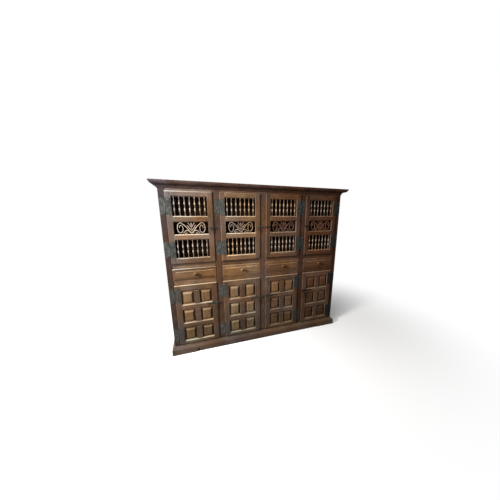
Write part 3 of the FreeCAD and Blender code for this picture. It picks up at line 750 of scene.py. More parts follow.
def swell_curve(tree, along):
    """The baluster's half outline as a curve node, mirrored about the middle bead."""
    shape = put(tree, "ShaderNodeFloatCurve", {"Value": along})
    curve = shape.mapping.curves[0]
    shares = swell_shares + [(1 - share, width) for share, width in reversed(swell_shares[:-1])]
    curve.points[0].location = shares[0]
    for share, width in shares[1:-1]:
        curve.points.new(share, width)
    curve.points[-1].location = shares[-1]
    shape.mapping.update()
    return shape.outputs[0]


def spindle_tree():
    """Lathes one baluster along a line and sets it on a grid of places."""
    takes = {
        "Columns": "Int", "Rows": "Int", "Column Pitch": "Float", "Row Pitch": "Float", "Length": "Float",
        "Radius": "Float", "Centre": "Vector", "Seed": "Int", "Least Stain": "Float", "Most Stain": "Float",
        "Wood": "Material",
    }
    tree, given, wanted = geometry_group("turned balusters", takes)
    foot = vector_of(tree, 0.0, 0.0, product(tree, given["Length"], -0.5))
    head = vector_of(tree, 0.0, 0.0, product(tree, given["Length"], 0.5))
    line = put(tree, "GeometryNodeCurvePrimitiveLine", {"Start": foot, "End": head}).outputs[0]
    line = put(tree, "GeometryNodeResampleCurve", {"Curve": line, "Count": spindle_rings}).outputs[0]
    width = swell_curve(tree, put(tree, "GeometryNodeSplineParameter").outputs["Factor"])
    levels = {"Resolution": spindle_sides, "Radius": 1.0}
    ring = put(tree, "GeometryNodeCurvePrimitiveCircle", levels).outputs[0]
    # The swells, where they face the front and the left, get a painted highlight.
    line = stored(tree, line, "worn_and_lit", ranged(tree, width, *width_range, *swell_light_shares))
    radius = product(tree, width, given["Radius"])
    levels = {"Curve": line, "Profile Curve": ring, "Scale": radius, "Fill Caps": True}
    lathe = put(tree, "GeometryNodeCurveToMesh", levels).outputs[0]
    normal = put(tree, "GeometryNodeInputNormal").outputs[0]
    facing = vector_maths(tree, "DOT_PRODUCT", normal, lit_side, "Value")
    kept = put(tree, "GeometryNodeInputNamedAttribute", {"Name": "worn_and_lit"}, data_type="FLOAT").outputs[0]
    kept = product(tree, kept, ranged(tree, facing, *facing_range, 0.0, 1.0, True))
    lathe = stored(tree, lathe, "crest", kept)
    x, y, z = parts_of(tree, put(tree, "GeometryNodeInputPosition").outputs[0])
    lathe = stored(tree, lathe, "place", vector_of(tree, z, x, y), "FLOAT_VECTOR")
    lathe = stored(tree, lathe, "half", vector_of(tree, 1.0, 1.0, 1.0), "FLOAT_VECTOR")
    lathe = put(tree, "GeometryNodeSetShadeSmooth", {"Geometry": lathe, "Shade Smooth": True}).outputs[0]
    across = product(tree, given["Column Pitch"], maths(tree, "SUBTRACT", given["Columns"], 1.0))
    up = product(tree, given["Row Pitch"], maths(tree, "SUBTRACT", given["Rows"], 1.0))
    levels = {"Size X": across, "Size Y": up, "Vertices X": given["Columns"], "Vertices Y": given["Rows"]}
    grid = put(tree, "GeometryNodeMeshGrid", levels).outputs[0]
    levels = {"Geometry": grid, "Translation": given["Centre"], "Rotation": (math.pi / 2, 0.0, 0.0)}
    grid = put(tree, "GeometryNodeTransform", levels).outputs[0]
    set_out = put(tree, "GeometryNodeInstanceOnPoints", {"Points": grid, "Instance": lathe}).outputs[0]
    levels = {2: given["Least Stain"], 3: given["Most Stain"], "Seed": given["Seed"]}
    chance = put(tree, "FunctionNodeRandomValue", levels, data_type="FLOAT").outputs[1]
    set_out = stored(tree, set_out, "board", chance, "FLOAT", "INSTANCE")
    real = put(tree, "GeometryNodeRealizeInstances", {"Geometry": set_out}).outputs[0]
    done = put(tree, "GeometryNodeSetMaterial", {"Geometry": real, "Material": given["Wood"]}).outputs[0]
    tree.links.new(done, wanted["Geometry"])
    return tree


def grown_piece(name, tree, inputs, start_mesh=None):
    """An object whose mesh the tree makes. Inputs are set by the sockets' identifiers."""
    piece = stand(name, start_mesh or bpy.data.meshes.new(name))
    growth = piece.modifiers.new("growth", "NODES")
    growth.node_group = tree
    for item in tree.interface.items_tree:
        if item.in_out == "INPUT" and item.name in inputs:
            growth[item.identifier] = inputs[item.name]
    return piece


SPINDLES = spindle_tree()
for bay in range(1, BAYS + 1):
    body = f"upper_door_{bay}"
    low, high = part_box(body + "_spindles")
    row_points = solids_of(body + "_spindles")[0][0]
    top_low = min(point.z for point in row_points)
    top_high = max(point.z for point in row_points)
    length = top_high - top_low
    radius = (high.y - low.y) / math.sqrt(3)
    pitch = (high.x - low.x - 2 * radius) / (SPINDLE_COLUMNS - 1)
    piece = grown_piece(f"balusters_{bay}", SPINDLES, {
        "Columns": SPINDLE_COLUMNS, "Rows": SPINDLE_ROWS, "Column Pitch": pitch,
        "Row Pitch": high.z - low.z - length, "Length": length, "Radius": radius,
        "Centre": (low + high) / 2, "Seed": bay, "Wood": turned_wood,
        "Least Stain": spindle_stains_and_shade[bay][0], "Most Stain": spindle_stains_and_shade[bay][1],
    })
    settle_piece(piece, body, "turned_wood", body + "_spindles")

# Carved panels
# A pierced board with two volutes, arms that meet below, and a bud above, sits between the rails.
# It is sawn out with a fretsaw and then rounded over with gouges, and its crests are rubbed pale.

strand_half = 0.0043
strand_crown = 0.0045
strand_section = [(-1, 0), (-0.93, 0.55), (-0.62, 0.88), (0, 1), (0.62, 0.88), (0.93, 0.55), (1, 0)]
scroll_steps = 34
scroll_centre_share = 0.68
scroll_reach_share = 0.21
scroll_rise_share = 0.90
scroll_turn_shares = (0.375, -0.97)
scroll_eye_share = 0.32
arm_shares = [(0.5, 0.62), (0.335, 0.22), (0.21, -0.2), (0.1, -0.62), (0.0, -0.84)]
arch_shares = [(0.54, -0.86), (0.44, -0.58), (0.33, -0.4), (0.2, -0.44), (0.06, -0.80)]
heart_shares = [(0.27, 0.52), (0.16, 0.08), (0.0, -0.42)]
petal_shares = [(0.21, 0.93), (0.12, 0.56), (0.0, 0.08)]
stem_shares = [(0.0, -0.93), (0.0, -0.2), (0.0, 0.3)]
leaf_shares = [((0.46, -0.94), (0.25, -0.74), 0.10), ((0.0, 0.25), (0.0, 0.93), 0.11)]
leaf_width_share = 0.42
leaf_power = 0.8
leaf_start_share = 0.04
leaf_rub_share = 0.55
leaf_edge_share = 0.1
scroll_width_shares = (1.05, 0.70)
strand_width_shares = (0.75, 0.45)
arm_width_share = 1.05
stem_width_share = 0.6
stem_rub_share = 0.5
strand_steps = 6
arm_steps = 8
leaf_steps = 10
# Each bay's stain range, darker to the right: partly the wood's own stain, partly painted shade.
carved_stains_and_shade = {1: (0.7, 0.8), 2: (0.45, 0.5), 3: (0.0, 0.05), 4: (0.0, 0.0)}
carved_wood = waxed_wood("carved wood", (0.066, 0.038, 0.025), (0.112, 0.068, 0.045), (0.42, 0.325, 0.235),
                         edge_wear=0.0, bands=turning_bands)
# Each of these curves stands on both sides, with its fullness and how pale its crest is rubbed.
paired_strands = ((arch_shares, 0.9, 0.85), (heart_shares, 0.85, 0.8), (petal_shares, 0.75, 0.7))


def smooth_line(points, steps):
    """A Catmull-Rom line through the points, in steps between each pair."""
    ends = [points[0] * 2 - points[1]] + points + [points[-1] * 2 - points[-2]]
    line = []
    for before, start, end, after in zip(ends, ends[1:], ends[2:], ends[3:]):
        for step in range(steps):
            t = step / steps
            bend = before * 2 - start * 5 + end * 4 - after
            twist = start * 3 - before - end * 3 + after
            line.append((start * 2 + (end - before) * t + bend * t ** 2 + twist * t ** 3) / 2)
    line.append(points[-1])
    return line


def skin(shape, rings):
    """A closed skin over rings of points, with one face at each end."""
    for first, second in zip(rings, rings[1:]):
        join_rings(shape, first, second)
    shape.faces.new(rings[0][::-1])
    shape.faces.new(rings[-1])


def carved_strand(shape, line, half_widths, y_back, y_front, rub=0.85):
    """A strand with a flat back and a rounded front, along a line of (x, z) points."""
    crest_layer = shape.verts.layers.float.get("crest") or shape.verts.layers.float.new("crest")
    rings = []
    for index, point in enumerate(line):
        ahead = line[min(index + 1, len(line) - 1)] - line[max(index - 1, 0)]
        across = Vector((-ahead.y, ahead.x)).normalized() * half_widths[index]
        ring = []
        for side, height in [(1, None)] + strand_section[::-1] + [(-1, None)]:
            x, z = point + across * side
            y = y_back if height is None else y_front + strand_crown * (1 - height)
            ring.append(shape.verts.new((x, y, z)))
            ring[-1][crest_layer] = 0.0 if height is None else rub * height ** 2
        rings.append(ring)
    skin(shape, rings)


def volute_line(spot, side):
    """The line of one volute, from the end of its arm round to its eye."""
    first_turn, last_turn = scroll_turn_shares
    line = [spot(side, *arm_shares[0])]
    for step in range(scroll_steps + 1):
        share = step / scroll_steps
        reach = 1 - (1 - scroll_eye_share) * share ** 2
        angle = 2 * math.pi * (first_turn + (last_turn - first_turn) * share)
        x = scroll_centre_share + scroll_reach_share * reach * math.cos(angle)
        line.append(spot(side, x, scroll_rise_share * reach * math.sin(angle)))
    return line


def carve_panel(low, high, stain):
    """Both halves of the panel, drawn in shares of its half width and half height."""
    middle = (low + high) / 2
    size = (high - low) / 2
    shape = bmesh.new()

    def spot(side, x, z):
        return Vector((middle.x + side * x * size.x, middle.z + z * size.z))

    for side in (-1, 1):
        full, thin = scroll_width_shares
        taper = [full + (thin - full) * step / scroll_steps for step in range(scroll_steps + 2)]
        widths = [strand_half * share for share in taper]
        carved_strand(shape, volute_line(spot, side), widths, high.y, low.y)
        for shares, fullness, rub in paired_strands:
            line = smooth_line([spot(side, x, z) for x, z in shares], strand_steps)
            least, added = strand_width_shares
            widths = []
            for step in range(len(line)):
                swell = math.sin(math.pi * step / (len(line) - 1))
                widths.append(strand_half * fullness * (least + added * swell))
            carved_strand(shape, line, widths, high.y, low.y, rub)
    arms = [spot(-1, x, z) for x, z in arm_shares] + [spot(1, x, z) for x, z in arm_shares[-2::-1]]
    arms = smooth_line(arms, arm_steps)
    carved_strand(shape, arms, [strand_half * arm_width_share] * len(arms), high.y, low.y)
    stem = smooth_line([spot(1, x, z) for x, z in stem_shares], strand_steps)
    widths = [strand_half * stem_width_share] * len(stem)
    carved_strand(shape, stem, widths, high.y, low.y + strand_crown / 2, stem_rub_share)
    for start, end, fullness in leaf_shares:
        for side in (-1, 1) if start[0] else (1,):
            line = smooth_line([spot(side, *start), spot(side, *end)], leaf_steps)
            widths = []
            for step in range(len(line)):
                along = min(step / (len(line) - 1) + leaf_start_share, 1)
                swell = math.sin(math.pi * along) ** leaf_power
                width = fullness * size.x * leaf_width_share * swell
                widths.append(width + strand_half * leaf_edge_share)
            carved_strand(shape, line, widths, high.y, low.y, leaf_rub_share)
    bmesh.ops.recalc_face_normals(shape, faces=shape.faces)
    mark_board(shape, 0, Vector((1.0, 1.0, 1.0)), stain)
    return shape


for bay in range(1, BAYS + 1):
    body = f"upper_door_{bay}"
    panel = carve_panel(*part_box(body + "_carved_panel"), carved_stains_and_shade[bay])
    finish_piece(f"scrollwork_{bay}", panel, [carved_wood], body, "turned_wood", body + "_carved_panel",
                 sharp_angle=60)

# Lower door frames and panels
# Each door has two stiles, four rails and three short muntins round six raised panels.
# The panels are of paler wood, bevelled on all sides, with their grain upright.

panel_steps = (
    (0.0, 0.023), (0.0, 0.011), (0.012, 0.011), (0.0262, 0.0015), (0.0275, 0.0005), (0.0295, 0.0),
)
sunk_depth = 0.011
border_limit_share = 1.01
panel_wood = waxed_wood("panel wood", (0.145, 0.084, 0.040), (0.222, 0.138, 0.068), (0.40, 0.28, 0.17),
                        0.34, edge_wear=0.0)
low_rail_wood = waxed_wood("low rail wood", (0.092, 0.055, 0.033), (0.145, 0.091, 0.056),
                           (0.40, 0.31, 0.215), 0.36, thin_reach, 0.35)
low_stains = {1: (0.48, 0.88), 2: (0.45, 0.80), 3: (0.58, 0.78), 4: (0.55, 0.75)}
panel_fades = {1: 0.0, 2: 0.35, 3: 0.75, 4: 0.35}
panel_stains = {1: (0.25, 0.50), 2: (0.8, 1.05), 3: (0.65, 0.85), 4: (0.10, 0.30)}
low_side_light_shares = {1: 0.2, 2: 0.25, 3: 0.35, 4: 0.35}


def fielded(low, high, steps):
    """A raised board built up from back to front. Each step is an inset from its edges and a depth."""
    shape = bmesh.new()
    rings = []
    for inset, depth in steps:
        left, right, foot, head = low.x + inset, high.x - inset, low.z + inset, high.z - inset
        corners = ((left, foot), (right, foot), (right, head), (left, head))
        rings.append([shape.verts.new((x, low.y + depth, z)) for x, z in corners])
    skin(shape, rings)
    bmesh.ops.recalc_face_normals(shape, faces=shape.faces)
    return shape


def mark_sunk(shape, depth, most=1.0):
    """Writes how far below the foremost face each point of the border lies, as a share of its depth. Points
    deeper than the border, at the back, stay unmarked."""
    front = min(vertex.co.y for vertex in shape.verts)
    layer = shape.verts.layers.float.new("sunk")
    for vertex in shape.verts:
        share = (vertex.co.y - front) / depth
        vertex[layer] = most * share if share < border_limit_share else 0.0


door_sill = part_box("lower_door_1_frame")[0].z
door_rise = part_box("lower_door_1_frame")[1].z - door_sill
for bay in range(1, BAYS + 1):
    body = f"lower_door_{bay}"
    woods = [stile_wood, low_rail_wood]
    board_piece(f"lower_joinery_{bay}", body + "_frame", woods, body, "face_wood", door_ease,
                stain=low_stains[bay], side_light_share=low_side_light_shares[bay])
    whole = bmesh.new()
    for points, faces in solids_of(body + "_panels"):
        panel = fielded(*box_of(points), panel_steps)
        sill = sum(point.z for point in points) / len(points) - door_sill
        drop = panel_fades[bay] * (1 - sill / door_rise)
        mark_board(panel, 2, stain=[level - drop for level in panel_stains[bay]])
        # The panels' sunk borders take painted shade.
        mark_sunk(panel, sunk_depth)
        # The panels' up-facing bevels get a painted highlight.
        mark_ledges(panel, 0.0)
        add_shape(whole, panel)
    finish_piece(f"raised_panels_{bay}", whole, [panel_wood], body, "panel_wood", body + "_panels")

# Drawers
# A raised front with a lip stands before a plain box of two sides, a back and a bottom.
# A turned mushroom knob is glued into the middle of the front.

drawer_steps = (
    (0.009, 0.024), (0.009, 0.0095), (0.0, 0.0095), (0.0, 0.0085), (0.0012, 0.0068), (0.0035, 0.006),
    (0.007, 0.006), (0.029, 0.0030), (0.031, 0.0012), (0.034, 0.0003), (0.037, 0.0),
)
knob_steps = 28
knob_side_light_share = 0.35
crest_width_share = 0.6
drawer_stains = {1: 0.60, 2: 1.2, 3: 0.58, 4: 0.46}
drawer_border_depth = 0.006
drawer_shade_shares = {1: 0.45, 2: 0.15, 3: 0.25, 4: 0.25}
knob_shares = [
    (0.62, 0.0), (0.62, 0.05), (0.46, 0.09), (0.38, 0.20), (0.36, 0.34), (0.48, 0.46), (0.80, 0.54),
    (0.98, 0.64), (1.0, 0.72), (0.93, 0.82), (0.74, 0.91), (0.45, 0.97), (0.0, 1.0),
]
drawer_wood = waxed_wood("drawer wood", (0.110, 0.060, 0.029), (0.178, 0.100, 0.050), (0.45, 0.35, 0.23),
                         0.33, worn_reach, 0.5)
knob_wood = waxed_wood("knob wood", (0.060, 0.033, 0.016), (0.10, 0.056, 0.027), (0.34, 0.23, 0.12),
                       0.36, edge_wear=0.0, bands=turning_bands)


def turned(profile, radius, length, root, toward, steps, stain):
    """A turning with its root at a point. The profile is in shares of its radius and length."""
    shape = bmesh.new()
    crest_layer = shape.verts.layers.float.new("crest")
    rings = []
    turn = toward.to_track_quat("Z", "Y").to_matrix()
    for wide, far in profile:
        if wide == 0:
            rings.append([shape.verts.new(root + toward * length * far)])
            continue
        ring = []
        for step in range(steps):
            angle = 2 * math.pi * step / steps
            reach = radius * wide
            spot = Vector((reach * math.cos(angle), reach * math.sin(angle), length * far))
            ring.append(shape.verts.new(root + turn @ spot))
            ring[-1][crest_layer] = max(0.0, wide - crest_width_share) * far
        rings.append(ring)
    for first, second in zip(rings, rings[1:]):
        for step in range(steps):
            after = (step + 1) % steps
            corners = [first[step], first[after], second[after % len(second)], second[step % len(second)]]
            shape.faces.new(list(dict.fromkeys(corners)))
    shape.faces.new(rings[0][::-1])
    bmesh.ops.recalc_face_normals(shape, faces=shape.faces)
    mark_board(shape, 1, Vector((1.0, 1.0, 1.0)), stain)
    return shape


for bay in range(1, BAYS + 1):
    body = f"drawer_{bay}"
    stain = (drawer_stains[bay], drawer_stains[bay])
    face = fielded(*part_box(body + "_front"), drawer_steps)
    mark_board(face, 0, stain=stain)
    # The drawer front's sunk border takes painted shade.
    mark_sunk(face, drawer_border_depth, drawer_shade_shares[bay])
    # Faces of the drawer front that look up or to the left get a painted highlight.
    mark_ledges(face, low_side_light_shares[bay])
    finish_piece(f"drawer_face_{bay}", face, [drawer_wood], body, "panel_wood", body + "_front",
                 sharp_angle=50)
    board_piece(f"drawer_case_{bay}", body + "_box", [inner_wood], body, "inner_wood", inner_ease)
    low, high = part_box(body + "_knob")
    root = Vector(((low.x + high.x) / 2, high.y, (low.z + high.z) / 2))
    radius = (high.x - low.x) / 2
    knob = turned(knob_shares, radius, high.y - low.y, root, Vector((0, -1, 0)), knob_steps, stain)
    # Faces of the knob that look up or to the left get a painted highlight.
    mark_ledges(knob, knob_side_light_share)
    finish_piece(f"pull_knob_{bay}", knob, [knob_wood], body, "turned_wood", body + "_knob", sharp_angle=50)

# Hinges
# Each forged hinge has two scalloped wings, nailed to the post and to the door, with a rolled eye each.
# The iron is cut from sheet, chased with rays round the pin, and blackened, and it rusts in places.

leaf_gauge = 0.0018
leaf_ease = 0.0005
nail_radius = 0.0032
nail_rise = 0.0018
eye_sides = 20
eye_radius = 0.0044
chased_rays = 9.0
chased_starts = (0.012, 0.024)
chased_ends = (0.076, 0.090)
chased_tone = (0.012, 0.014, 0.015, 1.0)
chased_share = 0.65
chased_width = 0.35
chased_depth = 1.2
mottle_noise = (55.0, 5.0, 0.65)
mottle_range = (0.35, 0.65)
mottle_depth = 0.6
soot_noise = (26.0, 3.0, 0.6)
soot_range = (0.42, 0.62)
soot_share = 0.75
soot_tone = (0.030, 0.026, 0.022, 1.0)
rust_noise = (23.0, 4.0, 0.7)
rust_range = (0.56, 0.72)
rust_share = 0.55
rust_tone = (0.056, 0.043, 0.035, 1.0)
damp_noise = (14.0, 3.0, 0.6)
damp_range = (0.40, 0.60)
damp_least_share = 0.15
low_rust_share = 0.75
rust_heights = (0.6, 1.15)
iron_shares = (0.40, 1.3)
iron_gloss_range = (0.3, 0.7)
iron_roughness = (0.62, 0.38)
iron_shine = 0.15
metal_share = 0.3
dent_scale = 130.0
dent_rise = 0.0009
dent_strength = 0.45
LEAF_SOLIDS = 4
SOLIDS_IN_BAY = 6
wing_steps = 3
wing_shares = [
    (0.0, 0.42), (0.10, 0.46), (0.20, 0.46), (0.28, 0.43), (0.36, 0.47), (0.48, 0.50), (0.60, 0.49),
    (0.68, 0.44), (0.78, 0.47), (0.90, 0.45), (0.97, 0.38), (0.91, 0.31), (0.99, 0.25), (1.0, 0.17),
    (0.91, 0.11), (0.98, 0.05), (1.0, 0.0),
]
nail_shares = [(0.16, 0.36), (0.56, 0.42), (0.86, 0.20), (0.48, 0.17)]
eye_shares = [
    (0.7, 0.0), (1.0, 0.04), (1.0, 0.44), (0.9, 0.47), (0.9, 0.53), (1.0, 0.56), (1.0, 0.96), (0.7, 1.0),
    (0.0, 1.0),
]


def forged_iron(name, deep, worn):
    """Blackened iron, hammered and mottled between two tones, with a little rust that grows downwards, and
    with rays chased round the hinge's pin."""
    material, tree, shader = new_material(name)
    shown = object_place(tree)
    mottle = noise(tree, shown, *mottle_noise)
    rust = ranged(tree, noise(tree, shown, *rust_noise), *rust_range, 0.0, rust_share)
    floorward = ranged(tree, parts_of(tree, shown)[2], *rust_heights, low_rust_share, 0.0)
    broken = noise(tree, shown, *damp_noise)
    floorward = product(tree, floorward, ranged(tree, broken, *damp_range, damp_least_share, 1.0))
    rust = maths(tree, "MAXIMUM", rust, floorward)
    colour = mixed(tree, ranged(tree, mottle, *mottle_range, 0.0, 1.0), deep + (1.0,), worn + (1.0,))
    sooted = ranged(tree, noise(tree, shown, *soot_noise), *soot_range, 0.0, soot_share, True)
    colour = mixed(tree, sooted, colour, soot_tone)
    colour = mixed(tree, rust, colour, rust_tone)
    from_pin = vector_maths(tree, "SUBTRACT", shown, attribute(tree, "pin", "Vector"))
    x, y, z = parts_of(tree, from_pin)
    turn = maths(tree, "ARCTAN2", z, x)
    ray = maths(tree, "ABSOLUTE", maths(tree, "SINE", product(tree, turn, chased_rays)))
    far = put(tree, "ShaderNodeVectorMath", {0: from_pin}, operation="LENGTH").outputs["Value"]
    marked = ranged(tree, far, *chased_starts, 0.0, 1.0)
    marked = product(tree, marked, ranged(tree, far, *chased_ends, 1.0, 0.0))
    chased = product(tree, ranged(tree, ray, 0.0, chased_width, 1.0, 0.0, True), marked)
    colour = mixed(tree, product(tree, chased, chased_share), colour, chased_tone)
    # The tone written on each piece darkens the iron to the right as painted shade.
    levels = dict(enumerate((attribute(tree, "board"), *board_range, *iron_shares)))
    tone = put(tree, "ShaderNodeMapRange", levels, clamp=False).outputs[0]
    colour = mixed(tree, 1.0, colour, vector_of(tree, tone, tone, tone), "MULTIPLY")
    tree.links.new(colour, shader.inputs["Base Color"])
    gloss = ranged(tree, mottle, *iron_gloss_range, *iron_roughness)
    tree.links.new(gloss, shader.inputs["Roughness"])
    shader.inputs["Metallic"].default_value = metal_share
    shader.inputs["Specular IOR Level"].default_value = iron_shine
    dents = put(tree, "ShaderNodeTexVoronoi", {"Vector": shown, "Scale": dent_scale}).outputs["Distance"]
    relief = maths(tree, "MULTIPLY_ADD", mottle, mottle_depth, dents)
    relief = maths(tree, "MULTIPLY_ADD", chased, -chased_depth, relief)
    levels = {"Strength": dent_strength, "Distance": dent_rise, "Height": relief}
    bump = put(tree, "ShaderNodeBump", levels)
    tree.links.new(bump.outputs[0], shader.inputs["Normal"])
    return material


def nail_tree():
    """Sets a low round nail head on every point of the mesh that it is given."""
    takes = {"Radius": "Float", "Rise": "Float", "Tone": "Float", "Iron": "Material"}
    tree, given, wanted = geometry_group("nail heads", takes)
    head = put(tree, "GeometryNodeMeshUVSphere", {"Segments": 10, "Rings": 6, "Radius": 1.0}).outputs[0]
    size = vector_of(tree, given["Radius"], given["Rise"], given["Radius"])
    levels = {"Points": given["Geometry"], "Instance": head, "Scale": size}
    heads = put(tree, "GeometryNodeInstanceOnPoints", levels).outputs[0]
    real = put(tree, "GeometryNodeRealizeInstances", {"Geometry": heads}).outputs[0]
    real = stored(tree, real, "board", given["Tone"])
    real = put(tree, "GeometryNodeSetShadeSmooth", {"Geometry": real, "Shade Smooth": True}).outputs[0]
    done = put(tree, "GeometryNodeSetMaterial", {"Geometry": real, "Material": given["Iron"]}).outputs[0]
    tree.links.new(done, wanted["Geometry"])
    return tree


IRON = forged_iron("forged iron", (0.028, 0.031, 0.028), (0.090, 0.096, 0.088))
NAILS = nail_tree()


def mark_iron_shade(shape, tone):
    """Writes the iron's tone, which darkens the iron to the right as painted shade."""
    layer = shape.verts.layers.float.get("board") or shape.verts.layers.float.new("board")
    for vertex in shape.verts:
        vertex[layer] = tone


def wing(shape, nails, low, high, edge, toward, front_y, tone):
    """A scalloped wing from its straight edge to the far end of its leaf's box, with its nails."""
    width = high.x - edge if toward > 0 else edge - low.x
    height = high.z - low.z
    middle = (low.z + high.z) / 2
    corners = [Vector((edge + toward * x * width, middle + z * height)) for x, z in wing_shares]
    upper = smooth_line(corners, wing_steps)
    lower = [Vector((point.x, 2 * middle - point.y)) for point in upper[-2::-1]]
    line = upper + lower
    plate = bmesh.new()
    front = [plate.verts.new((point.x, front_y, point.y)) for point in line]
    back = [plate.verts.new((point.x, front_y + leaf_gauge, point.y)) for point in line]
    join_rings(plate, front, back)
    rim = plate.faces.new(front).edges[:]
    plate.faces.new(back[::-1])
    bmesh.ops.recalc_face_normals(plate, faces=plate.faces)
    bmesh.ops.bevel(plate, geom=rim, offset=leaf_ease, offset_type="OFFSET", segments=2, profile=0.5,
                    affect="EDGES")
    pin_layer = plate.verts.layers.float_vector.new("pin")
    for vertex in plate.verts:
        vertex[pin_layer] = Vector((edge, front_y, middle))
    mark_iron_shade(plate, tone)
    add_shape(shape, plate)
    for x, z in nail_shares:
        for side in (-1, 1):
            nails.append((edge + toward * x * width, front_y, middle + side * z * height))


def nail_piece(name, places, body, tone):
    spots = bpy.data.meshes.new(name)
    spots.from_pydata(places, [], [])
    levels = {"Radius": nail_radius, "Rise": nail_rise, "Tone": tone, "Iron": IRON}
    piece = grown_piece(name, NAILS, levels, spots)
    settle_piece(piece, body, "wrought_iron")


def rolled_eye(shape, axis_x, axis_y, z_low, z_high, tone):
    root = Vector((axis_x, axis_y, z_low))
    upward = Vector((0, 0, 1))
    eye = turned(eye_shares, eye_radius, z_high - z_low, root, upward, eye_sides, (tone, tone))
    add_shape(shape, eye)


def hinge_axis(bay):
    joint = next(joint for joint in frame["joints"] if joint["child"] == f"upper_door_{bay}")
    return joint["pos_m"][0], joint["pos_m"][1]


eye_length = 0.056
eye_turn = 0.0003
eye_clearance = 0.0055
foot_lap = 0.002
# Each bay's iron tone, darker to the right as painted shade.
iron_shade_tones = {1: 0.8, 2: 1.2, 3: 0.35, 4: -0.25}


def side_of(low, high, axis_x):
    """Which way a leaf reaches from the hinge's axis: 1 to the right and -1 to the left."""
    return 1 if (low.x + high.x) / 2 > axis_x else -1


def iron_part(shape, points, faces, ease, tone):
    """Adds one solid with its edges eased and its tone written."""
    part = eased(points, faces, ease)
    mark_iron_shade(part, tone)
    add_shape(shape, part)


def eye_foot(shape, first_x, second_x, first_y, second_y, z_low, z_high, tone):
    """The block of iron that joins a leaf to its eye."""
    foot = bmesh.new()
    bmesh.ops.create_cube(foot, size=1)
    low = Vector((min(first_x, second_x), first_y, z_low))
    high = Vector((max(first_x, second_x), second_y, z_high))
    for vertex in foot.verts:
        vertex.co = (low + high) / 2 + vertex.co * (high - low)
    mark_iron_shade(foot, tone)
    add_shape(shape, foot)


case_iron = bmesh.new()
case_nails = []
for index, (points, faces) in enumerate(solids_of("case_ironwork")):
    bay = index // SOLIDS_IN_BAY + 1
    tone = iron_shade_tones[bay]
    if index % SOLIDS_IN_BAY >= LEAF_SOLIDS:
        iron_part(case_iron, points, faces, leaf_ease, tone)
        continue
    low, high = box_of(points)
    axis_x, axis_y = hinge_axis(bay)
    toward = side_of(low, high, axis_x)
    edge = axis_x + toward * eye_clearance
    wing(case_iron, case_nails, low, high, edge, toward, post_low.y - leaf_gauge, tone)
    middle = (low.z + high.z) / 2
    foot_z = (middle - eye_length, middle - eye_turn)
    rolled_eye(case_iron, axis_x, axis_y, *foot_z, tone)
    eye_foot(case_iron, axis_x, edge + toward * foot_lap, axis_y, post_low.y, *foot_z, tone)
finish_piece("frame_wings", case_iron, [IRON], "case", "wrought_iron", "case_ironwork", sharp_angle=45)
nail_piece("frame_nails", case_nails, "case", iron_shade_tones[2])

PLATE_SOLID = 2
for level in ("upper", "lower"):
    for bay in range(1, BAYS + 1):
        body = f"{level}_door_{bay}"
        tone = iron_shade_tones[bay]
        shape = bmesh.new()
        nails = []
        axis_x, axis_y = hinge_axis(bay)
        door_low, door_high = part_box(body + "_frame")
        for index, (points, faces) in enumerate(solids_of(body + "_ironwork")):
            if index == PLATE_SOLID:
                iron_part(shape, points, faces, leaf_ease, tone)
                continue
            low, high = box_of(points)
            toward = side_of(low, high, axis_x)
            edge = door_low.x if toward > 0 else door_high.x
            wing(shape, nails, low, high, edge, toward, door_low.y - leaf_gauge, tone)
            middle = (low.z + high.z) / 2
            rolled_eye(shape, axis_x, axis_y, middle + eye_turn, middle + eye_length, tone)
        finish_piece(f"{level}_wings_{bay}", shape, [IRON], body, "wrought_iron", body + "_ironwork",
                     sharp_angle=45)
        nail_piece(f"{level}_nails_{bay}", nails, body, tone)

# Slide bolts
# A square bar slides in two staples and is moved by a leaf-shaped drop that hangs from it.
# The drop is a flat plate of forged iron on a short stem, and bar and drop are browner than the hinges.

bolt_ease = 0.0009
BOLT_IRON = forged_iron("bolt iron", (0.036, 0.031, 0.024), (0.105, 0.088, 0.068))
for level in ("upper", "lower"):
    for bay in range(1, BAYS + 1):
        body = f"{level}_bolt_{bay}"
        shape = bmesh.new()
        for points, faces in solids_of(body):
            iron_part(shape, points, faces, bolt_ease, iron_shade_tones[bay])
        finish_piece(f"{level}_slide_{bay}", shape, [BOLT_IRON], body, "wrought_iron", body, sharp_angle=45)

# Floor, light and camera
# A plain white floor takes a soft shadow. One strong lamp stands to the left, like a window, and two weak
# ones stand in front and overhead. The camera is at the height of a standing person's eye.

floor_size = 14.0
foot_reach = (1.02, 0.205, 1.0)
shade_reach = 0.12
shade_light_share = 0.23
shade_end = 1.9
floor_grey = 0.9
bounce_grey = 0.3
floor_roughness = 0.9
floor_shine = 0.1
foot_edge = 0.006
under_shadow_share = 0.05
sky_fill = 0.07
key_size = 2.2
height_share = 0.6
lamp_tint = (1.0, 0.98, 0.96)
near_limit = 0.05
camera_place = (-0.7083, -2.2292, 1.5094)
camera_tilt = math.radians(90 - 12.949)
camera_turn = math.radians(-18.423)
focal_pixels = 189.71
picture_pixels = 500
sensor_width = 36.0
centre_pixels = (260.60, 259.90)


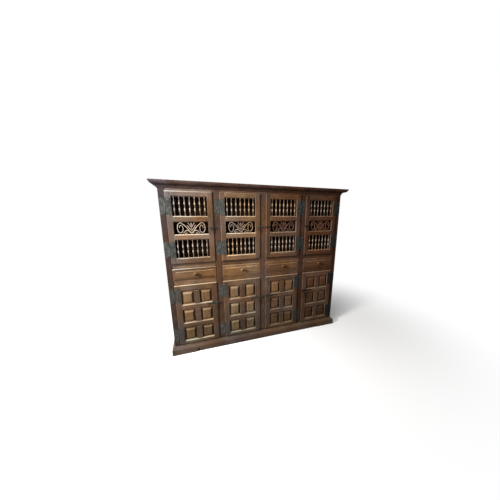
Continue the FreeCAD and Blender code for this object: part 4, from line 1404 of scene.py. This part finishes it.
def floor_material():
    """White to the eye, apart from a real shadow near the foot and a painted dark shadow under the case, and
    greyer to light that bounces.
    """
    material, tree, shader = new_material("studio floor")
    seen = put(tree, "ShaderNodeLightPath").outputs["Is Camera Ray"]
    grey = ranged(tree, seen, 0.0, 1.0, bounce_grey, floor_grey)
    shader.inputs["Roughness"].default_value = floor_roughness
    shader.inputs["Specular IOR Level"].default_value = floor_shine
    aside = put(tree, "ShaderNodeVectorMath", {0: object_place(tree)}, operation="ABSOLUTE").outputs[0]
    aside = vector_maths(tree, "SUBTRACT", aside, foot_reach)
    aside = vector_maths(tree, "MAXIMUM", aside, (0.0, 0.0, 0.0))
    far = put(tree, "ShaderNodeVectorMath", {0: aside}, operation="LENGTH").outputs["Value"]
    # Under the case the floor is painted dark, as a painted shadow.
    grey = product(tree, grey, ranged(tree, far, 0.0, foot_edge, under_shadow_share, 1.0))
    tree.links.new(vector_of(tree, grey, grey, grey), shader.inputs["Base Color"])
    near_part = ranged(tree, far, 0.0, shade_reach, 0.0, shade_light_share, True)
    far_part = ranged(tree, far, shade_reach, shade_end, 0.0, 1.0 - shade_light_share, True)
    plain = put(tree, "ShaderNodeEmission", {"Color": (1.0, 1.0, 1.0, 1.0), "Strength": 1.0})
    part = product(tree, seen, maths(tree, "ADD", near_part, far_part))
    mix = put(tree, "ShaderNodeMixShader", {0: part, 1: shader.outputs[0], 2: plain.outputs[0]})
    tree.links.new(mix.outputs[0], tree.nodes["Material Output"].inputs["Surface"])
    return material


floor_mesh = bpy.data.meshes.new("floor")
reach = floor_size / 2
corners = [(-reach, -reach, 0), (reach, -reach, 0), (reach, reach, 0), (-reach, reach, 0)]
floor_mesh.from_pydata(corners, [], [(0, 1, 2, 3)])
floor_mesh.materials.append(floor_material())
stand("floor", floor_mesh)

world = bpy.data.worlds.new("studio")
bpy.context.scene.world = world
world.use_nodes = True
sky = world.node_tree
rays = put(sky, "ShaderNodeLightPath").outputs
straight = maths(sky, "MAXIMUM", rays["Is Camera Ray"], rays["Is Transmission Ray"])
straight = maths(sky, "MAXIMUM", straight, rays["Is Glossy Ray"])
sky.nodes["Background"].inputs["Color"].default_value = (1.0, 1.0, 1.0, 1.0)
strength = ranged(sky, straight, 0.0, 1.0, sky_fill, 1.0)
sky.links.new(strength, sky.nodes["Background"].inputs["Strength"])

# Each lamp has its place, the point that it looks at, its share of the full size, and its power.
lamps = (
    ("front", (-1.5, -2.9, 2.1), (-0.7, 0.0, 0.7), 0.7, 14.0),
    ("side", (-3.2, -1.5, 2.1), (-0.4, 0.0, 0.7), 0.4, 290.0),
    ("overhead", (-1.1, -1.3, 4.2), (-0.6, 0.0, 0.6), 0.6, 80.0),
)
for name, place, target, size_share, power in lamps:
    lamp = bpy.data.lights.new(name, "AREA")
    lamp.shape = "RECTANGLE"
    lamp.size = key_size * size_share
    lamp.size_y = lamp.size * height_share
    lamp.energy = power
    lamp.color = lamp_tint
    holder = stand(name, lamp)
    holder.location = place
    holder.rotation_euler = (Vector(target) - Vector(place)).to_track_quat("-Z", "Y").to_euler()

view = bpy.data.cameras.new("camera")
view.sensor_width = sensor_width
view.lens = focal_pixels / picture_pixels * sensor_width
view.shift_x = (picture_pixels / 2 - centre_pixels[0]) / picture_pixels
view.shift_y = (centre_pixels[1] - picture_pixels / 2) / picture_pixels
view.clip_start = near_limit
camera = stand("camera", view)
camera.location = camera_place
camera.rotation_euler = (camera_tilt, 0.0, camera_turn)
bpy.context.scene.camera = camera
bpy.context.scene.view_settings.view_transform = "Standard"
